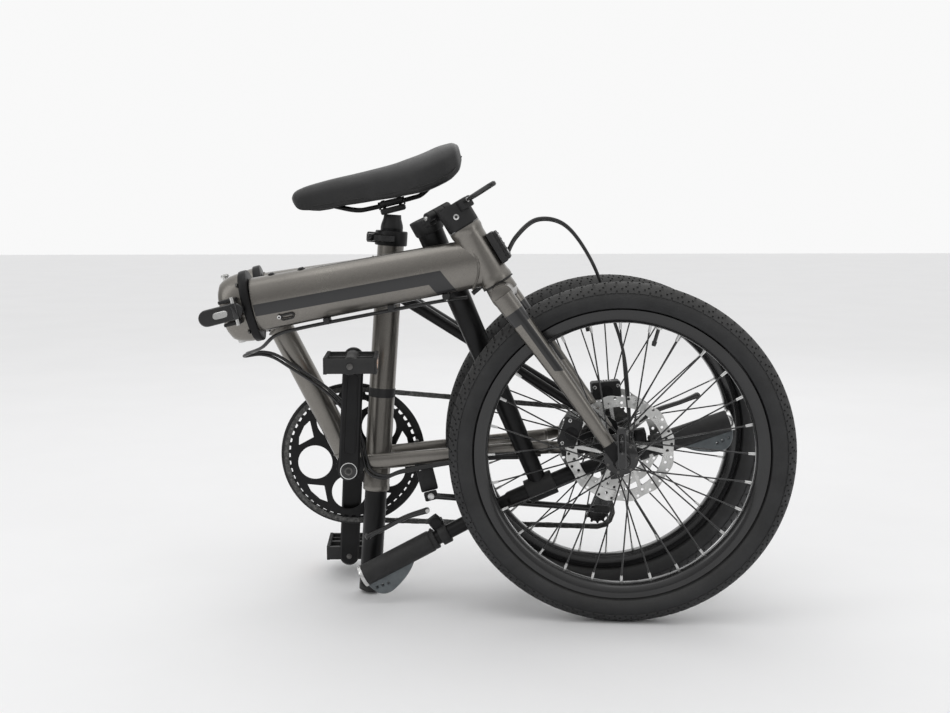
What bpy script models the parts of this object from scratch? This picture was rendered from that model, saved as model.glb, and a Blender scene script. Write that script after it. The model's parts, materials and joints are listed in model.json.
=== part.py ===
"""Folding bicycle with 20 inch wheels, folded in half and standing on its wheels and seatpost.

Every piece is drawn in the place it has when the bicycle is ridden: x runs rearwards from the
rear axle, y to the rider's right and z up. The empties on the joint axes then fold it.
"""

import math

import bmesh
import bpy
from mathutils import Matrix, Vector

# Clearances, in metres
GAP = 0.0003
RUNNING_GAP = 0.0004

# Stance, in radians
TILT = math.radians(14.0)
FOLD_REMAINDER = math.radians(7.0)

# Frame layout
BB_X = -0.392
BB_Z = 0.057
SEAT_LEAN = math.radians(17.9)
SEAT_SETBACK = 0.0407
HEAD_LEAN = math.radians(17.5)
HEAD_FOOT_Z = 0.265
HEAD_FOOT_SETBACK = 0.107
HINGE_X = -0.497
HINGE_Z = 0.332
HINGE_OFFSET = 0.050

# Tubes
SEAT_TUBE_RADIUS = 0.020
SEAT_TUBE_WALL = 0.0026
SEAT_TUBE_TOP = 0.352
SEAT_TUBE_FOOT = -0.042
SEATPOST_WALL = 0.0021
SEATPOST_TOP = 0.3625
SEATPOST_FOOT = -0.192
FOOT_DOME_RADIUS = 0.030
BB_SHELL_RADIUS = 0.020
BB_SHELL_HALF = 0.034
STAY_START_Y = 0.0285
STAY_BEND = (-0.108, 0.0450, 0.0145)
MAIN_TUBE_HEIGHT = 0.078
MAIN_TUBE_WIDTH = 0.050
MAIN_TUBE_END_HEIGHT = 0.069
MAIN_TUBE_END_WIDTH = 0.042
REAR_TUBE_END_HEIGHT = 0.060
REAR_TUBE_END_WIDTH = 0.037
MAIN_TUBE_JOIN = 0.052
REAR_TUBE_JOIN = 0.292
BRACE_TOP = (-0.447, 0, 0.300)
BRACE_RADIUS = 0.0185
HEAD_TUBE_RADIUS = 0.022
HEAD_TUBE_BORE = 0.0155
HEAD_TUBE_START = 0.018
HEAD_TUBE_LENGTH = 0.090

# Hinge castings
CASTING_LENGTH = 0.0355
FLANGE_THICKNESS = 0.012
FLANGE_HEIGHT = 0.104
FLANGE_WIDTH = 0.060
FACE_HEIGHT = 0.066
FACE_WIDTH = 0.040
KNUCKLE_RADIUS = 0.009
PIN_RADIUS = 0.004
PIN_LENGTH = 0.098
KNUCKLE_HALF = 0.018
KNUCKLE_OUTER = 0.040

# Wheels
WHEEL_RADIUS = 0.248
TYRE_RADIUS = 0.0235
RIM_BED = 0.1905
RIM_HEIGHT = 0.020
RIM_HALF_WIDTH = 0.015
SPOKES = 28
WHEEL_SIDES = 42
SPOKE_RADIUS = 0.0013
AXLE_RADIUS = 0.0046
REAR_HUB_HALF = 0.0645
REAR_DROPOUT_Y = 0.0665
FRONT_HUB_HALF = 0.0485
FRONT_DROPOUT_Y = 0.050
DROPOUT_THICKNESS = 0.005
ROTOR_RADIUS = 0.080
ROTOR_THICKNESS = 0.0018
REAR_ROTOR_Y = -0.0455
FRONT_ROTOR_Y = -0.0345
FLANGE_CIRCLE = 0.021

# Drivetrain
CRANK_LENGTH = 0.170
CRANK_LEAN = math.radians(3.0)
CRANK_Y = 0.070
CRANK_THICKNESS = 0.013
CRANK_WIDTH = 0.031
SPINDLE_RADIUS = 0.0085
CHAINRING_RADIUS = 0.1052
CHAINRING_Y = 0.050
GUARD_RADIUS = 0.114
COG_RADIUS = 0.0285
COG_Y = 0.0570
CHAIN_RADIUS = 0.0038
PULLEY_RADIUS = 0.0245
PEDAL_LENGTH = 0.090
PEDAL_WIDTH = 0.076
PEDAL_THICKNESS = 0.024
PEDAL_AXLE_RADIUS = 0.0045

# Handlepost, folded about a skew hinge beside the head axis
POST_HINGE_LEVEL = 0.146
POST_HINGE_OFFSET = 0.032
POST_HINGE_AZIMUTH = math.radians(48.9)
POST_HINGE_RISE = math.radians(10.3)
POST_FOLD = math.radians(170.9)
POST_LENGTH = 0.440
POST_FOOT_RADIUS = 0.0195
POST_HEAD_RADIUS = 0.0130
BAR_RADIUS = 0.0127
GRIP_BAR_RADIUS = 0.0110
BAR_HALF = 0.300
BAR_RISE = 0.020
GRIP_RADIUS = 0.0165
GRIP_LENGTH = 0.128
GRIP_WING = (
    (0.000, 0.008),
    (0.020, 0.026),
    (0.058, 0.041),
    (0.080, 0.030),
    (0.086, 0.000),
    (0.050, -0.006),
)
STEERER_RADIUS = 0.0143
CABLE_RADIUS = 0.0026

# Fork
BLADE_Y = 0.0480
BLADE_TOP_RADIUS = 0.0150
BLADE_FOOT_RADIUS = 0.0090
CROWN_RADIUS = 0.0165

SADDLE_LENGTH = 0.262
SADDLE_SECTIONS = (
    # station along the length, half width, drop of the top, drop of the skirt
    (0.000, 0.008, 0.016, 0.022),
    (0.020, 0.020, 0.008, 0.036),
    (0.090, 0.021, 0.004, 0.042),
    (0.240, 0.026, 0.003, 0.046),
    (0.420, 0.036, 0.004, 0.050),
    (0.600, 0.056, 0.004, 0.054),
    (0.760, 0.074, 0.000, 0.056),
    (0.900, 0.078, -0.006, 0.050),
    (0.970, 0.066, -0.006, 0.038),
    (1.000, 0.040, 0.000, 0.022),
)
SADDLE_TOP = 0.060
SADDLE_PADDING = 0.0095
SADDLE_SHELL_GAP = 0.0006
SADDLE_SHELL_UNDERSIDE = 0.0362
SADDLE_DEPTH = 0.080
SADDLE_NOSE = -0.144
RAIL_Y = 0.021

X = Vector((1, 0, 0))
Y = Vector((0, 1, 0))
Z = Vector((0, 0, 1))

MATERIALS = {
    "frame_paint": ((0.115, 0.108, 0.096), 0.34, 0.75),
    "black_alloy": ((0.018, 0.018, 0.019), 0.42, 0.55),
    "bright_alloy": ((0.55, 0.55, 0.55), 0.30, 0.95),
    "steel": ((0.45, 0.45, 0.46), 0.28, 1.0),
    "rubber": ((0.020, 0.020, 0.021), 0.78, 0.0),
    "black_plastic": ((0.022, 0.022, 0.023), 0.50, 0.0),
    "saddle_cover": ((0.030, 0.029, 0.029), 0.58, 0.0),
    "tyre": ((0.034, 0.034, 0.036), 0.70, 0.0),
}


def clear_scene():
    for obj in list(bpy.data.objects):
        bpy.data.objects.remove(obj, do_unlink=True)


def make_materials():
    """One Principled material for each finish on the bicycle."""
    made = {}
    for name, (colour, roughness, metallic) in MATERIALS.items():
        material = bpy.data.materials.new(name)
        material.use_nodes = True
        shader = material.node_tree.nodes["Principled BSDF"]
        shader.inputs["Base Color"].default_value = (*colour, 1.0)
        shader.inputs["Roughness"].default_value = roughness
        shader.inputs["Metallic"].default_value = metallic
        made[name] = material
    return made


class Body:
    """A rigid group, held by an empty on its joint axis and turned to its folded place."""

    def __init__(self, name, pivot, parent=None, axis=Z, angle=0.0):
        self.pivot = Vector(pivot)
        self.axis = Vector(axis).normalized()
        self.parent = parent
        self.empty = bpy.data.objects.new(name, None)
        bpy.context.scene.collection.objects.link(self.empty)
        origin = self.pivot.copy()
        if parent:
            self.empty.parent = parent.empty
            origin -= parent.pivot
        self.local = Matrix.Translation(origin) @ Matrix.Rotation(angle, 4, self.axis)
        self.empty.matrix_local = self.local

    def in_parent(self, point):
        """Where a point of this body, as ridden, lies among the parent's pieces once folded."""
        return self.local @ (Vector(point) - self.pivot) + self.parent.pivot


def link_mesh(name, shape, body):
    shape.transform(Matrix.Translation(-body.pivot))
    mesh = bpy.data.meshes.new(name)
    shape.to_mesh(mesh)
    shape.free()
    obj = bpy.data.objects.new(name, mesh)
    bpy.context.scene.collection.objects.link(obj)
    obj.parent = body.empty
    return obj


def piece(name, shape, body, material, add=(), cut=()):
    """A named piece: a shape, the shapes welded to it, then the shapes cut from it."""
    obj = link_mesh(name, shape, body)
    obj.data.materials.append(FINISH[material])
    obj.data.shade_smooth()
    obj.data.set_sharp_from_angle(angle=math.radians(35))
    steps = [("UNION", other) for other in add] + [("DIFFERENCE", other) for other in cut]
    for number, (operation, other) in enumerate(steps):
        tool = link_mesh(f"{name}_tool_{number}", other, body)
        tool.hide_render = True
        tool.display_type = "WIRE"
        modifier = obj.modifiers.new(f"{operation.lower()}_{number}", "BOOLEAN")
        modifier.operation = operation
        modifier.solver = "EXACT"
        modifier.object = tool
    return obj


def frame_of(origin, along, side=None):
    """A matrix whose Z runs along a direction and whose X lies as near as it can to a side."""
    z = Vector(along).normalized()
    hint = Vector(side) if side else (X if abs(z.x) < 0.9 else Y)
    x = (hint - z * hint.dot(z)).normalized()
    y = z.cross(x)
    matrix = Matrix((x, y, z)).transposed().to_4x4()
    matrix.translation = origin
    return matrix


def rod(start, end, radius, end_radius=None, segments=16):
    start = Vector(start)
    end = Vector(end)
    shape = bmesh.new()
    bmesh.ops.create_cone(
        shape,
        cap_ends=True,
        segments=segments,
        radius1=radius,
        radius2=radius if end_radius is None else end_radius,
        depth=(end - start).length,
        matrix=frame_of((start + end) / 2, end - start),
    )
    return shape


def disc(centre, radius, thickness, segments=24):
    """A disc whose axis runs across the bicycle."""
    centre = Vector(centre)
    return rod(centre - Y * thickness / 2, centre + Y * thickness / 2, radius, None, segments)


def oval(start, end, size, end_size, segments=24):
    """A tapered oval tube; each size is its width across the bicycle and its height."""
    start = Vector(start)
    end = Vector(end)
    length = (end - start).length
    shape = bmesh.new()
    bmesh.ops.create_cone(
        shape, cap_ends=True, segments=segments, radius1=1, radius2=1, depth=length
    )
    for vert in shape.verts:
        width, height = size if vert.co.z < 0 else end_size
        vert.co.x *= width / 2
        vert.co.y *= height / 2
    shape.transform(frame_of((start + end) / 2, end - start, Y))
    return shape


def block(centre, size, along=Z, side=X):
    """A box; its third size runs along the given direction and its first along the side."""
    shape = bmesh.new()
    bmesh.ops.create_cube(shape, size=1)
    bmesh.ops.scale(shape, vec=size, verts=shape.verts)
    shape.transform(frame_of(centre, along, side))
    return shape


def turned(profile, origin, along, segments=32, ring=False):
    """A turned piece: (radius, height) points spun about an axis, or a closed ring section."""
    shape = bmesh.new()
    points = [shape.verts.new((radius, 0, height)) for radius, height in profile]
    pairs = list(zip(points, points[1:]))
    if ring:
        pairs.append((points[-1], points[0]))
    edges = [shape.edges.new(pair) for pair in pairs]
    bmesh.ops.spin(
        shape,
        geom=points + edges,
        cent=(0, 0, 0),
        axis=(0, 0, 1),
        angle=math.tau,
        steps=segments,
        use_merge=True,
    )
    bmesh.ops.remove_doubles(shape, verts=shape.verts, dist=1e-6)
    bmesh.ops.recalc_face_normals(shape, faces=shape.faces)
    shape.transform(frame_of(origin, along))
    return shape


def sleeve(start, end, outer, bore, segments=24):
    """A tube with an open bore."""
    length = (Vector(end) - Vector(start)).length
    profile = [(bore, 0), (outer, 0), (outer, length), (bore, length)]
    return turned(profile, start, Vector(end) - Vector(start), segments, ring=True)


def plate(outline, origin, along, side, thickness):
    """A flat plate, its outline drawn about an origin, as thick as given on both sides of it."""
    shape = bmesh.new()
    points = [shape.verts.new((a, b, -thickness / 2)) for a, b in outline]
    face = shape.faces.new(points)
    grown = bmesh.ops.extrude_face_region(shape, geom=[face])
    moved = [item for item in grown["geom"] if isinstance(item, bmesh.types.BMVert)]
    bmesh.ops.translate(shape, vec=(0, 0, thickness), verts=moved)
    bmesh.ops.recalc_face_normals(shape, faces=shape.faces)
    shape.transform(frame_of(origin, along, side))
    return shape


def stadium(length, width, steps=6):
    """The outline of a bar with round ends, from its first centre to its second."""
    points = []
    for centre, start in ((0.0, 0.5 * math.pi), (length, -0.5 * math.pi)):
        for step in range(steps + 1):
            angle = start + math.pi * step / steps
            points.append((centre + width / 2 * math.cos(angle), width / 2 * math.sin(angle)))
    return points


def smooth_path(points, spacing):
    """Evenly spaced points on a smooth curve through the given ones."""
    points = [Vector(point) for point in points]
    ends = [points[0] * 2 - points[1], points[-1] * 2 - points[-2]]
    guide = [ends[0], *points, ends[1]]
    dense = []
    for a, b, c, d in zip(guide, guide[1:], guide[2:], guide[3:]):
        for step in range(12):
            t = step / 12
            bend = (a * 2 - b * 5 + c * 4 - d) * t * t + (b * 3 - a - c * 3 + d) * t**3
            dense.append((b * 2 + (c - a) * t + bend) / 2)
    dense.append(points[-1])
    length = sum((q - p).length for p, q in zip(dense, dense[1:]))
    count = max(2, round(length / spacing))
    path = [dense[0]]
    travelled = 0.0
    for p, q in zip(dense, dense[1:]):
        step = (q - p).length
        while len(path) < count and travelled + step >= length * len(path) / count:
            path.append(p.lerp(q, (length * len(path) / count - travelled) / step))
        travelled += step
    path.append(dense[-1])
    return path


def wire(name, points, radius, body, material, closed=False, resolution=2):
    """A round wire, cable or bent tube along a list of points."""
    curve = bpy.data.curves.new(name, "CURVE")
    curve.dimensions = "3D"
    curve.bevel_depth = radius
    curve.bevel_resolution = resolution
    curve.use_fill_caps = not closed
    curve.materials.append(FINISH[material])
    spline = curve.splines.new("POLY")
    spline.points.add(len(points) - 1)
    for target, point in zip(spline.points, points):
        target.co = (*(Vector(point) - body.pivot), 1)
    spline.use_cyclic_u = closed
    obj = bpy.data.objects.new(name, curve)
    bpy.context.scene.collection.objects.link(obj)
    obj.parent = body.empty
    return obj


def belt_path(circles, step):
    """The loop of a chain round circles in the bicycle's plane, each (x, y, z, radius, turn)."""
    count = len(circles)
    tangents = []
    for index in range(count):
        x1, y1, z1, r1, turn1 = circles[index]
        x2, y2, z2, r2, turn2 = circles[(index + 1) % count]
        span = Vector((x2 - x1, z2 - z1))
        heading = math.atan2(span.y, span.x)
        lean = math.asin((r1 * turn1 - r2 * turn2) / span.length)
        normal = heading - lean + math.pi / 2
        tangents.append((normal, normal))
    path = []
    for index in range(count):
        x, y, z, radius, turn = circles[index]
        arrive = tangents[index - 1][1] + (0 if turn > 0 else math.pi)
        leave = tangents[index][0] + (0 if turn > 0 else math.pi)
        sweep = (arrive - leave) % math.tau if turn > 0 else (leave - arrive) % math.tau
        steps = max(1, round(sweep * radius / step))
        for part in range(steps + 1):
            angle = arrive - turn * sweep * part / steps
            path.append(Vector((x + radius * math.cos(angle), y, z + radius * math.sin(angle))))
    return path


def unit(lean):
    """The direction that leans rearwards from upright by an angle."""
    return Vector((math.sin(lean), 0, math.cos(lean)))


def across(lean):
    """Square to unit(lean), pointing rearwards and down."""
    return Vector((math.cos(lean), 0, -math.sin(lean)))


# Places worked out from the layout
REAR_AXLE = Vector((0, 0, 0))
BB = Vector((BB_X, 0, BB_Z))
SEAT_DIR = unit(SEAT_LEAN)
SEAT_FOOT = BB + across(SEAT_LEAN) * SEAT_SETBACK
FRONT_AXLE_X = HINGE_X - (-HINGE_X + HINGE_OFFSET * math.sin(FOLD_REMAINDER)) / math.cos(
    FOLD_REMAINDER
)
FRONT_AXLE = Vector((FRONT_AXLE_X, 0, 0))
HEAD_DIR = unit(HEAD_LEAN)
HEAD_FOOT = Vector((FRONT_AXLE_X + HEAD_FOOT_SETBACK, 0, HEAD_FOOT_Z))
FRAME_PIN = Vector((HINGE_X, -HINGE_OFFSET, HINGE_Z))
UP_AT_REST = Vector((math.sin(TILT), 0, math.cos(TILT)))
CRANK_DIR = unit(TILT + CRANK_LEAN)
SEATPOST_RADIUS = SEAT_TUBE_RADIUS - SEAT_TUBE_WALL - RUNNING_GAP

POST_AXIS = Vector(
    (
        -math.cos(POST_HINGE_RISE) * math.cos(POST_HINGE_AZIMUTH),
        -math.cos(POST_HINGE_RISE) * math.sin(POST_HINGE_AZIMUTH),
        math.sin(POST_HINGE_RISE),
    )
)
POST_INWARD = POST_AXIS.cross(HEAD_DIR).normalized()
POST_UP = POST_INWARD.cross(POST_AXIS).normalized()
POST_LEVEL = HEAD_FOOT + HEAD_DIR * POST_HINGE_LEVEL
POST_PIN = POST_LEVEL - POST_INWARD * POST_HINGE_OFFSET
BAR_CENTRE = POST_LEVEL + HEAD_DIR * POST_LENGTH


def along_seat(distance):
    return SEAT_FOOT + SEAT_DIR * distance


def along_head(distance):
    return HEAD_FOOT + HEAD_DIR * distance


def main_tube_start(side):
    """Centre of the main tube beside its hinge casting; side is +1 for the rear half."""
    return Vector((HINGE_X + side * (CASTING_LENGTH + FLANGE_THICKNESS + GAP), 0, HINGE_Z))


def hinge_casting(side):
    """The flange and the domed casting that ends in the joint face."""
    face = HINGE_X + side * GAP * 2
    dome_end = face + side * CASTING_LENGTH
    flange_end = HINGE_X + side * (CASTING_LENGTH + FLANGE_THICKNESS)
    centre = Vector((0, 0, HINGE_Z))
    dome_size = (FLANGE_WIDTH - 0.006, FLANGE_HEIGHT - 0.006)
    dome = oval(centre + X * face, centre + X * dome_end, (FACE_WIDTH, FACE_HEIGHT), dome_size, 24)
    flange_size = (FLANGE_WIDTH, FLANGE_HEIGHT)
    flange = oval(
        centre + X * (dome_end - side * 0.001), centre + X * flange_end, flange_size, flange_size
    )
    return dome, flange


def knuckle(side, low, high):
    """A hinge knuckle round the pin and the web that joins it to its casting."""
    centre = FRAME_PIN + Z * (low + high) / 2
    height = high - low
    barrel = rod(centre - Z * height / 2, centre + Z * height / 2, KNUCKLE_RADIUS)
    web_length = 0.022
    web = block(
        centre + X * side * (web_length / 2 + GAP * 2) + Y * 0.020, (web_length, 0.040, height)
    )
    return barrel, web


def pin_bore(radius):
    reach = Z * (PIN_LENGTH / 2 + 0.01)
    return rod(FRAME_PIN - reach, FRAME_PIN + reach, radius)


def main_tube(side, extra=0.0):
    """The shape of one half of the main tube, swollen by a clearance when it is a cutter."""
    size = (MAIN_TUBE_WIDTH + extra * 2, MAIN_TUBE_HEIGHT + extra * 2)
    if side < 0:
        end = along_head(MAIN_TUBE_JOIN)
        end_size = (MAIN_TUBE_END_WIDTH + extra * 2, MAIN_TUBE_END_HEIGHT + extra * 2)
    else:
        end = along_seat(REAR_TUBE_JOIN)
        end_size = (REAR_TUBE_END_WIDTH + extra * 2, REAR_TUBE_END_HEIGHT + extra * 2)
    start = main_tube_start(side) - X * side * 0.006
    return oval(start, end, size, end_size)


def casting_space(side):
    """The room of a hinge casting, whose end face the main tube meets squarely."""
    reach = 0.06
    centre = main_tube_start(side) - X * side * reach / 2
    return block(centre, (reach, 0.12, 0.16))


def seat_bore(extra):
    return rod(along_seat(-0.3), along_seat(0.5), SEAT_TUBE_RADIUS + extra, None, 24)


def clamp_ear(extra):
    """The block on the front of the seat collar that the clamp lever closes on."""
    centre = along_seat(SEAT_TUBE_TOP - 0.005) - across(SEAT_LEAN) * 0.029
    return block(centre, (0.016 + extra, 0.018 + extra, 0.016 + extra), SEAT_DIR)


def build_rear_frame(rear):
    """The rear half of the frame, with everything that is welded or bolted to it."""
    bore = SEAT_TUBE_RADIUS - SEAT_TUBE_WALL
    tube = sleeve(along_seat(SEAT_TUBE_FOOT), along_seat(SEAT_TUBE_TOP), SEAT_TUBE_RADIUS, bore)
    piece("seat_tube", tube, rear, "frame_paint")

    cut = [casting_space(1), seat_bore(GAP)]
    piece("rear_main_tube", main_tube(1), rear, "frame_paint", cut=cut)

    shell = sleeve(BB - Y * BB_SHELL_HALF, BB + Y * BB_SHELL_HALF, BB_SHELL_RADIUS, 0.0125)
    piece("bb_shell", shell, rear, "frame_paint")

    brace = rod(BRACE_TOP, BB, BRACE_RADIUS, None, 20)
    shell_space = rod(BB - Y * 0.1, BB + Y * 0.1, BB_SHELL_RADIUS + GAP, None, 24)
    flange = (FLANGE_WIDTH + GAP * 2, FLANGE_HEIGHT + GAP * 2)
    flange_space = oval((HINGE_X - 0.02, 0, HINGE_Z), main_tube_start(1), flange, flange)
    cut = [main_tube(1, GAP), flange_space, shell_space, seat_bore(GAP)]
    piece("brace_tube", brace, rear, "frame_paint", cut=cut)

    dome, flange = hinge_casting(1)
    low, low_web = knuckle(1, -KNUCKLE_OUTER, -KNUCKLE_HALF - GAP)
    high, high_web = knuckle(1, KNUCKLE_HALF + GAP, KNUCKLE_OUTER)
    add = [flange, low, low_web, high, high_web]
    bore = pin_bore(PIN_RADIUS + GAP)
    piece("rear_hinge_casting", dome, rear, "frame_paint", add=add, cut=[bore])
    reach = Z * PIN_LENGTH / 2
    heads = [rod(FRAME_PIN + reach * k, FRAME_PIN + reach * k * 1.06, 0.0065) for k in (-1, 1)]
    piece("frame_hinge_pin", rod(FRAME_PIN - reach, FRAME_PIN + reach, PIN_RADIUS), rear, "steel", heads)

    for side, word in ((-1, "left"), (1, "right")):
        build_stays(rear, side, word)

    collar_low = along_seat(SEAT_TUBE_TOP - 0.016)
    collar_high = along_seat(SEAT_TUBE_TOP + 0.006)
    outer = SEAT_TUBE_RADIUS + 0.0045
    collar = rod(collar_low, collar_high, outer, None, 24)
    ear = clamp_ear(0.0)
    inside = rod(collar_low - SEAT_DIR * 0.01,
                 collar_high + SEAT_DIR * 0.01, SEAT_TUBE_RADIUS + GAP, None, 24)
    piece("seat_clamp", collar, rear, "black_alloy", add=[ear], cut=[inside])

    reach = Y * 0.0745
    axle = rod(REAR_AXLE - reach, REAR_AXLE + reach, AXLE_RADIUS)
    nuts = [disc(REAR_AXLE + Y * k * 0.0755, 0.008, 0.0075, 12) for k in (-1, 1)]
    piece("rear_axle", axle, rear, "steel", add=nuts)

    build_caliper("rear_brake_caliper", REAR_AXLE, REAR_ROTOR_Y, Vector((0.157, 0, 0.988)), rear)

    catch = block((-0.066, -0.0865, 0.0140), (0.026, 0.018, 0.024), Z - X * 0.1, X)
    piece("magnet_catch", catch, rear, "black_plastic")


def build_caliper(name, axle, rotor_y, radial, body):
    """A brake caliper that straddles the edge of its rotor."""
    tangent = radial.cross(Y)
    centre = axle + Y * rotor_y
    casting = block(centre + radial * 0.0770, (0.046, 0.024, 0.028), radial, tangent)
    slot = block(centre + radial * (ROTOR_RADIUS - 0.015), (0.080, 0.005, 0.036), radial, tangent)
    piece(name, casting, body, "black_alloy", cut=[slot])


def build_stays(rear, side, word):
    """One side of the rear triangle: chainstay, seatstay and dropout welded together."""
    bend = Vector((STAY_BEND[0], side * STAY_BEND[1], STAY_BEND[2]))
    overlap = Vector((-0.004, 0, 0.0004))
    start = Vector((BB_X + 0.006, side * STAY_START_Y, BB_Z))
    chainstay = oval(start, bend, (0.014, 0.025), (0.012, 0.020), 16)
    end = Vector((-0.062, side * 0.0690, 0.008))
    tail = oval(bend + overlap, end, (0.0122, 0.0202), (0.010, 0.018), 16)
    seatstay = rod((-0.266, side * 0.0235, 0.300), (0.000, side * 0.0690, 0.024), 0.0095, 0.0062, 12)
    outline = [(-0.072, -0.004), (-0.060, 0.020), (-0.014, 0.026), (0.004, 0.040), (0.014, 0.030)]
    outline += [(0.016, 0.002), (0.008, -0.0095), (-0.008, -0.0095), (-0.040, -0.006)]
    y = side * (REAR_DROPOUT_Y + DROPOUT_THICKNESS / 2)
    dropout = plate([(a, -b) for a, b in outline], (0, y, 0), Y, X, DROPOUT_THICKNESS)
    add = [tail, seatstay, dropout]
    if side < 0:
        add.append(block((-0.284, -0.0345, 0.014), (0.026, 0.010, 0.050)))
    else:
        add.append(block((0.010, y, -0.018), (0.018, DROPOUT_THICKNESS, 0.030)))
    shell_space = rod(BB - Y * 0.1, BB + Y * 0.1, BB_SHELL_RADIUS + GAP, None, 24)
    axle_space = rod((0, -0.1, 0), (0, 0.1, 0), AXLE_RADIUS + GAP)
    cut = [shell_space, seat_bore(GAP), axle_space]
    piece(f"rear_stays_{word}", chainstay, rear, "black_alloy", add=add, cut=cut)


def build_kickstand(body):
    start = body.pivot
    end = start + Vector((0.240, 0, -0.083))
    head = block(start, (0.020, 0.0095, 0.014))
    leg = rod(start, end, 0.005, None, 12)
    foot = rod(end, end + (end - start).normalized() * 0.022, 0.0065, 0.006, 12)
    piece("kickstand", head, body, "black_alloy", add=[leg, foot])


def build_seat_lever(body):
    """The clamp lever, wrapped round the left of the collar."""
    middle = along_seat(SEAT_TUBE_TOP - 0.005)
    outline = []
    for radius, order in ((0.0285, 1), (0.0335, -1)):
        for step in range(8)[::order]:
            angle = math.radians(196 + 12 * step)
            outline.append((radius * math.cos(angle), radius * math.sin(angle)))
    lever = plate(outline, middle, SEAT_DIR, across(SEAT_LEAN), 0.011)
    boss = rod(body.pivot - SEAT_DIR * 0.0055, body.pivot + SEAT_DIR * 0.0055, 0.0060, None, 12)
    piece("seat_clamp_lever", lever, body, "black_alloy", add=[boss], cut=[clamp_ear(GAP * 2)])


def spoked_hub(name, axle, body, barrel, left, right):
    """A hub and its spokes, laced to run out from the flanges at a slant."""
    hub = turned(barrel, axle, Y, 20, ring=True)
    reach = RIM_BED - GAP
    spokes = bmesh.new()
    for index in range(SPOKES):
        angle = math.tau * index / SPOKES
        flange_y = left if index % 2 else right
        lead = math.radians(38) * (1 if index % 4 < 2 else -1)
        foot = Vector((math.cos(angle + lead), 0, math.sin(angle + lead))) * FLANGE_CIRCLE
        head = Vector((math.cos(angle), 0, math.sin(angle))) * (reach - 0.0005)
        start = axle + foot + Y * (flange_y + (0.0007 if index % 4 < 2 else -0.0007))
        matrix = frame_of((start + axle + head) / 2, axle + head - start)
        depth = (axle + head - start).length
        bmesh.ops.create_cone(
            spokes,
            cap_ends=True,
            segments=3,
            radius1=SPOKE_RADIUS,
            radius2=SPOKE_RADIUS,
            depth=depth,
            matrix=matrix,
        )
    piece(name, hub, body, "bright_alloy", add=[spokes])


def build_wheel(which, axle, body, rotor_y, hub_half, flange_left, flange_right, freehub):
    """Tyre, rim, hub with spokes and brake rotor of one wheel."""
    centre = WHEEL_RADIUS - TYRE_RADIUS
    bead = RIM_BED + RIM_HEIGHT - 0.0065
    profile = []
    for step in range(7):
        angle = math.radians(-120 + 240 * step / 6)
        profile.append((centre + TYRE_RADIUS * math.cos(angle), TYRE_RADIUS * math.sin(angle)))
    for height, y in ((0.0075, 0.0118), (GAP, 0.0118), (GAP, -0.0118), (0.0075, -0.0118)):
        profile.append((bead + height, y))
    tyre = turned(profile, axle, Y, WHEEL_SIDES, ring=True)
    piece(f"{which}_tyre", tyre, body, "tyre")

    half = RIM_HALF_WIDTH
    top = RIM_BED + RIM_HEIGHT
    side = [(RIM_BED, 0.006), (RIM_BED + 0.006, half - 0.001), (top - 0.004, half), (top, half)]
    side += [(top, 0.0123), (bead, 0.0123)]
    profile = [(radius, -y) for radius, y in side][::-1] + side
    rim = turned(profile, axle, Y, WHEEL_SIDES, ring=True)
    piece(f"{which}_rim", rim, body, "black_alloy")

    bore = AXLE_RADIUS + RUNNING_GAP
    left, right = flange_left, flange_right
    barrel = [
        (bore, -hub_half),
        (0.0090, -hub_half),
        (0.0160, rotor_y - 0.004),
        (0.0160, left - 0.003),
        (0.0245, left - 0.0018),
        (0.0245, left + 0.0018),
        (0.0130, left + 0.006),
        (0.0130, right - 0.006),
        (0.0245, right - 0.0018),
        (0.0245, right + 0.0018),
        (freehub, right + 0.004),
        (freehub, hub_half - 0.004),
        (0.0090, hub_half),
        (bore, hub_half),
    ]
    spoked_hub(f"{which}_hub_and_spokes", axle, body, barrel, left, right)

    centre = axle + Y * rotor_y
    half = Y * ROTOR_THICKNESS / 2
    outer = sleeve(centre - half, centre + half, ROTOR_RADIUS, ROTOR_RADIUS - 0.014, 32)
    inner = sleeve(centre - half, centre + half, 0.0235, 0.0160 + GAP, 20)
    arms = []
    for index in range(6):
        angle = math.tau * index / 6
        spread = math.radians(16)
        start = Vector((math.cos(angle), 0, math.sin(angle))) * 0.0205
        end = Vector((math.cos(angle + spread), 0, math.sin(angle + spread))) * (ROTOR_RADIUS - 0.008)
        size = (0.006, ROTOR_THICKNESS, (end - start).length)
        arms.append(block(centre + (start + end) / 2, size, end - start, (end - start).cross(Y)))
    piece(f"{which}_rotor", outer, body, "steel", add=[inner, *arms])


def build_cassette(body):
    """Stepped cogs on the right of the rear hub."""
    bore = 0.0165 + GAP
    small = COG_RADIUS - CHAIN_RADIUS - 0.0005
    steps = [(0.0500, 0.0350), (0.0430, 0.0420), (0.0350, 0.0490)]
    profile = [(bore, 0.0300)]
    low = 0.0300
    for radius, high in steps:
        profile += [(radius, low), (radius, high)]
        low = high
    profile += [(small, low + 0.0010), (small, 0.0590), (bore, 0.0590)]
    piece("cassette", turned(profile, REAR_AXLE, Y, 24, ring=True), body, "steel")


def spindle_bore():
    return rod(BB - Y * 0.1, BB + Y * 0.1, SPINDLE_RADIUS + GAP)


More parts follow.
